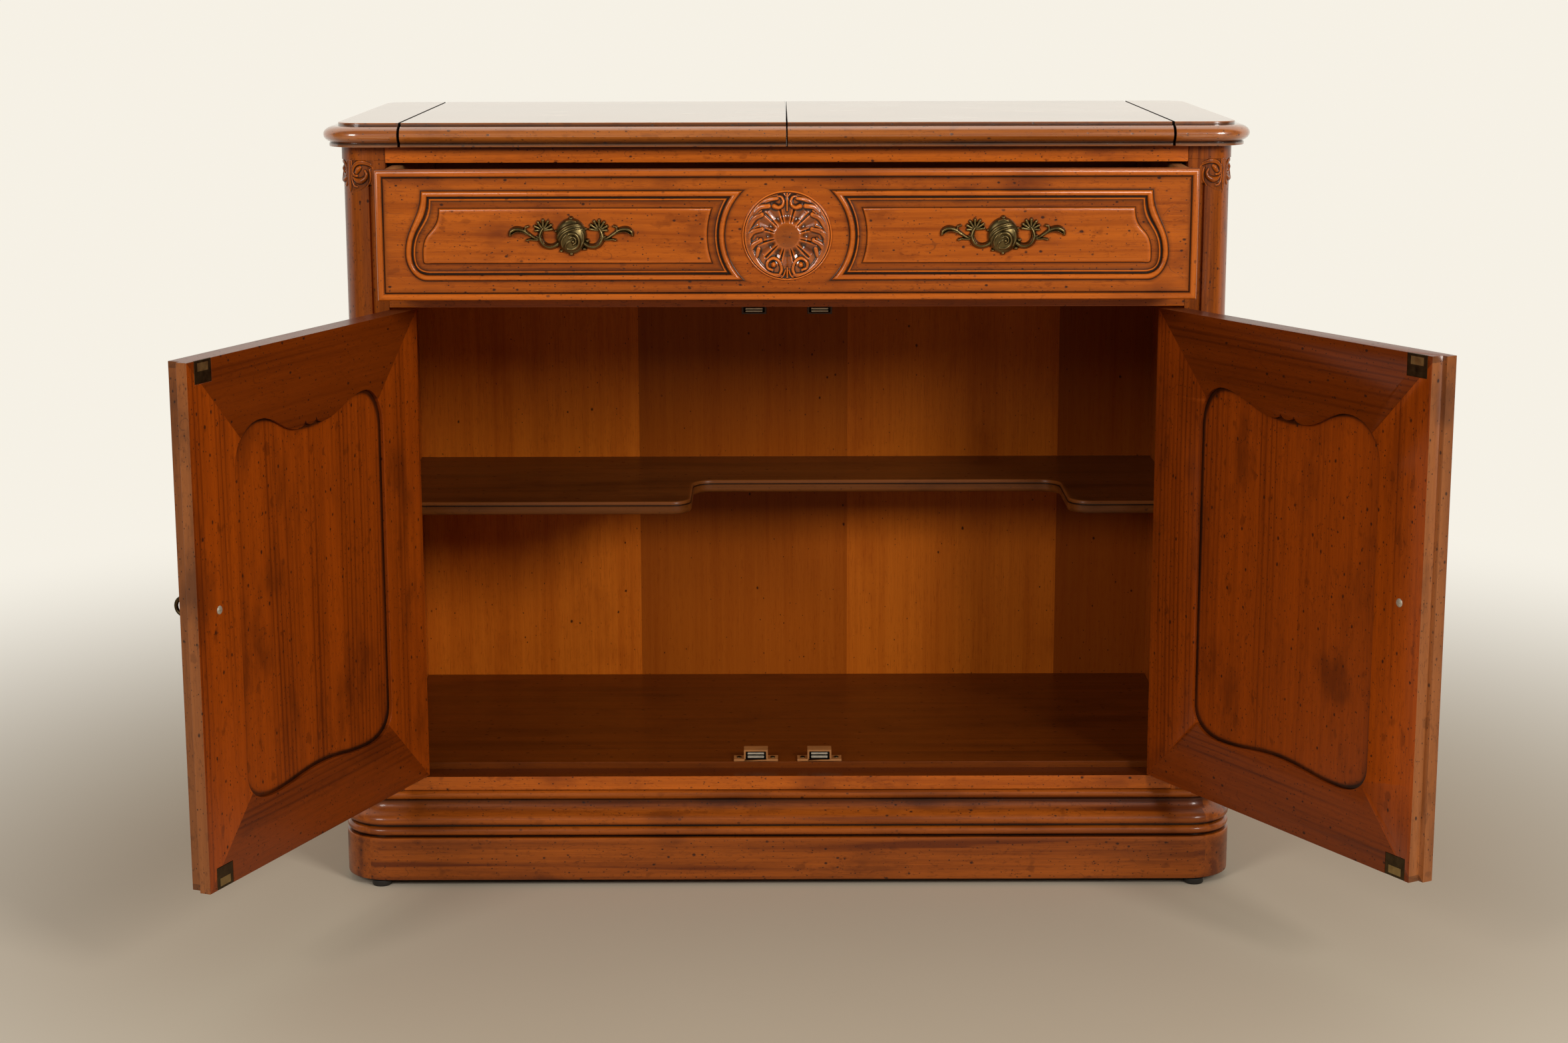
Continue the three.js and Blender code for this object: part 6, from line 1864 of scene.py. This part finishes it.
class MakeDoorFurniture(bpy.types.Operator):
    """Makes the ring pulls, strikes, hinges and screws of the doors"""

    bl_idname = "cabinet.door_furniture"
    bl_label = "Door furniture"

    def execute(self, context):
        for side_name, side in SIDES:
            door = Door(side_name, side)
            self.add_pull(door)
            for end in ("top", "bottom"):
                self.add_strike(door, end)
            for place in ("upper", "lower"):
                for leaf in ("post", "door"):
                    node = f"{door.body}_{place}_{leaf}_leaf"
                    finish_copy(node, "antique_brass", "brass", "Z", width=HINGE_EDGE)
            self.add_screws(door)
        return {"FINISHED"}

    def add_strike(self, door, end):
        """A bronze plate with a patch that the catch has rubbed bright."""
        node = f"{door.body}_{end}_strike"
        piece = copy_of(node, node + "_finished")
        low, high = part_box(node)
        middle = Vector(((low.x + high.x) / 2, (low.y + high.y) / 2, 0))
        along = Matrix.Rotation(door.turn, 3, "Z") @ Vector((1, 0, 0))
        near, far = low.z + PATCH_FROM * MM, low.z + PATCH_TO * MM
        if end == "top":
            near, far = high.z - PATCH_TO * MM, high.z - PATCH_FROM * MM
        half = PATCH_HALF * MM
        split(piece, ((Vector((0, 0, near)), (0, 0, 1)), (Vector((0, 0, far)), (0, 0, 1)),
                      (middle - along * half, along), (middle + along * half, along)))
        round_edges(piece, STRIKE_EDGE)
        ready(piece, door.body, "antique_brass", finish("bronze"), node)
        refinish(piece, "worn_brass", lambda c: near < c.z < far and abs((c - middle).dot(along)) < half)

    def add_pull(self, door):
        """A ring that hangs edge on from the front of a round base."""
        node = f"{door.body}_pull"
        base = add_turned(node + "_finished", [(radius, REST_GAP + height) for radius, height in PULL_BASE],
                          axis="Y")
        bpy.ops.object.select_all(action="DESELECT")
        bpy.ops.mesh.primitive_torus_add(major_radius=RING_RADIUS * MM, minor_radius=RING_THICKNESS * MM,
                                         major_segments=48, minor_segments=16, rotation=(0, QUARTER, 0),
                                         location=(0, -RING_REACH * MM, 0))
        ring = bpy.context.object
        apply_place(ring)
        piece = join(base, ring)
        low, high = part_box(node)
        place = Vector(((door.middle - PULL_FROM_MIDDLE) * MM, 0, (low.z + high.z) / 2))
        piece.data.transform(Matrix.Translation(place))
        smooth(piece, 40)
        door.place(piece)
        ready(piece, door.body, "bronze", finish("bronze"), node)

    def add_screws(self, door):
        """The screws of the strikes, sunk flush, and the screw that holds the pull."""
        width, height, thickness = STRIKE_SIZE
        across = door.lip - STRIKE_FROM_EDGE - width / 2
        sunk = DOOR_THICKNESS - thickness
        low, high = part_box(f"{door.body}_pull")
        pull_height_up = (low.z + high.z) / 2 / MM
        heads = ((across, sunk, door.top - height / 2 - STRIKE_SCREW_OFF, SCREW_RADIUS),
                 (across, sunk, door.bottom + height / 2 + STRIKE_SCREW_OFF, SCREW_RADIUS),
                 (door.middle - PULL_FROM_MIDDLE, DOOR_THICKNESS, pull_height_up, PULL_SCREW_RADIUS))
        pieces = []
        for index, (x, y, z, radius) in enumerate(heads):
            head = add_screw(f"{door.body}_screws", radius)
            head.data.transform(Matrix.Rotation(index * SCREW_PITCH, 4, "Y"))
            head.data.transform(Matrix.Translation(Vector((x, y, z)) * MM))
            pieces.append(head)
        pull_screw = pieces.pop()
        pull_screw.name = f"{door.body}_pull_screw"
        for piece, kind in ((join(*pieces), "bronze"), (pull_screw, "steel")):
            door.place(piece)
            ready(piece, door.body, "bronze", finish(kind))


# Magnetic catches

CATCH_HALF = 12.5
CATCH_WALL = 2.0
CATCH_POCKET = 6.0
CATCH_FOOT = 2.6
POLE_HALF = 8.5
POLE_THICKNESS = 1.6
POLE_SET_BACK = 0.5
POLE_EDGE = 0.25
EAR_SCREW = 17.5
HOUSING_EASE = 0.1

# Heights of the two plates in the pocket, as shares of its height
BOTTOM_POLE_SHARES = (0.26, 0.74)
TOP_POLE_SHARES = (0.14, 0.5)


class MakeCatches(bpy.types.Operator):
    """Makes the four magnetic catches with their pole plates and screws"""

    bl_idname = "cabinet.catches"
    bl_label = "Catches"

    def execute(self, context):
        for side_name, _ in SIDES:
            for end in ("top", "bottom"):
                self.add_catch(f"{side_name}_{end}_catch", end == "bottom")
        return {"FINISHED"}

    def add_catch(self, node, has_ears):
        """A housing with a pocket in its front that shows the edges of two steel plates."""
        low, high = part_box(node)
        middle = (low.x + high.x) / 2
        half, wall, ease = CATCH_HALF * MM, CATCH_WALL * MM, HOUSING_EASE * MM
        foot_height = CATCH_FOOT * MM
        pocket_end = low.y + CATCH_POCKET * MM
        floor = low.z + (foot_height if has_ears else wall)
        ceiling = high.z - wall
        inner = half - wall
        piece = add_board(node + "_finished", (middle - half, low.y, low.z + ease),
                          (middle + half, high.y, high.z - ease))
        cut_away(piece, add_board("pocket", (middle - inner, low.y - wall, floor),
                                  (middle + inner, pocket_end, ceiling)))
        if has_ears:
            foot = add_board("foot", low, (high.x, high.y, low.z + foot_height))
            cut_away(piece, foot, operation="UNION")
        round_edges(piece, SOFT_EDGE)
        ready(piece, "cabinet", "catch_plastic", finish("plastic" if has_ears else "dark_plastic"), node)
        # The pocket's inner faces take a painted shade.
        refinish(piece, "slot", lambda c: (abs(c.x - middle) < inner + ease and c.y > low.y + wall / 2
                                           and floor - ease < c.z < ceiling + ease))
        plates = []
        half, set_back, thick = POLE_HALF * MM, POLE_SET_BACK * MM, POLE_THICKNESS * MM / 2
        for share in BOTTOM_POLE_SHARES if has_ears else TOP_POLE_SHARES:
            height = floor + (ceiling - floor) * share
            plates.append(add_board(node + "_poles", (middle - half, low.y + set_back, height - thick),
                                    (middle + half, pocket_end, height + thick)))
        poles = join(*plates)
        round_edges(poles, POLE_EDGE)
        ready(poles, "cabinet", "catch_plastic", finish("steel"), node)
        if has_ears:
            heads = []
            for side in (-1, 1):
                head = add_screw(node + "_screws", SCREW_RADIUS)
                head.data.transform(Matrix.Rotation(QUARTER, 4, "X"))
                place = Vector((middle + side * EAR_SCREW * MM, (low.y + high.y) / 2, low.z + foot_height))
                head.data.transform(Matrix.Translation(place))
                heads.append(head)
            ready(join(*heads), "cabinet", "catch_plastic", finish("bronze"), node)


# Panel in the sidebar

STEPS = (MakeStage, MakeCase, MakePosts, MakeBase, MakeTop, MakeInterior, MakeDrawer,
         MakeDrawerPulls, MakeDoors, MakeDoorFurniture, MakeCatches)


class CabinetPanel(bpy.types.Panel):
    """Lists the steps that make the cabinet"""

    bl_idname = "VIEW3D_PT_cabinet"
    bl_label = "Bar cabinet"
    bl_space_type = "VIEW_3D"
    bl_region_type = "UI"
    bl_category = "Cabinet"

    def draw(self, context):
        column = self.layout.column()
        for group in (context.scene.cabinet_sizes, context.scene.cabinet_colours):
            for name in group.bl_rna.properties.keys():
                if name not in ("rna_type", "name"):
                    column.prop(group, name)
        for step in STEPS:
            column.operator(step.bl_idname)


CLASSES = (CabinetSizes, CabinetColours, *STEPS, CabinetPanel)


def register():
    for kind in CLASSES:
        bpy.utils.register_class(kind)
    bpy.types.Scene.cabinet_sizes = bpy.props.PointerProperty(type=CabinetSizes)
    bpy.types.Scene.cabinet_colours = bpy.props.PointerProperty(type=CabinetColours)


def unregister():
    del bpy.types.Scene.cabinet_colours
    del bpy.types.Scene.cabinet_sizes
    for kind in reversed(CLASSES):
        bpy.utils.unregister_class(kind)


def main():
    register()
    for step in STEPS:
        group, name = step.bl_idname.split(".")
        getattr(getattr(bpy.ops, group), name)()


if __name__ == "__main__":
    main()
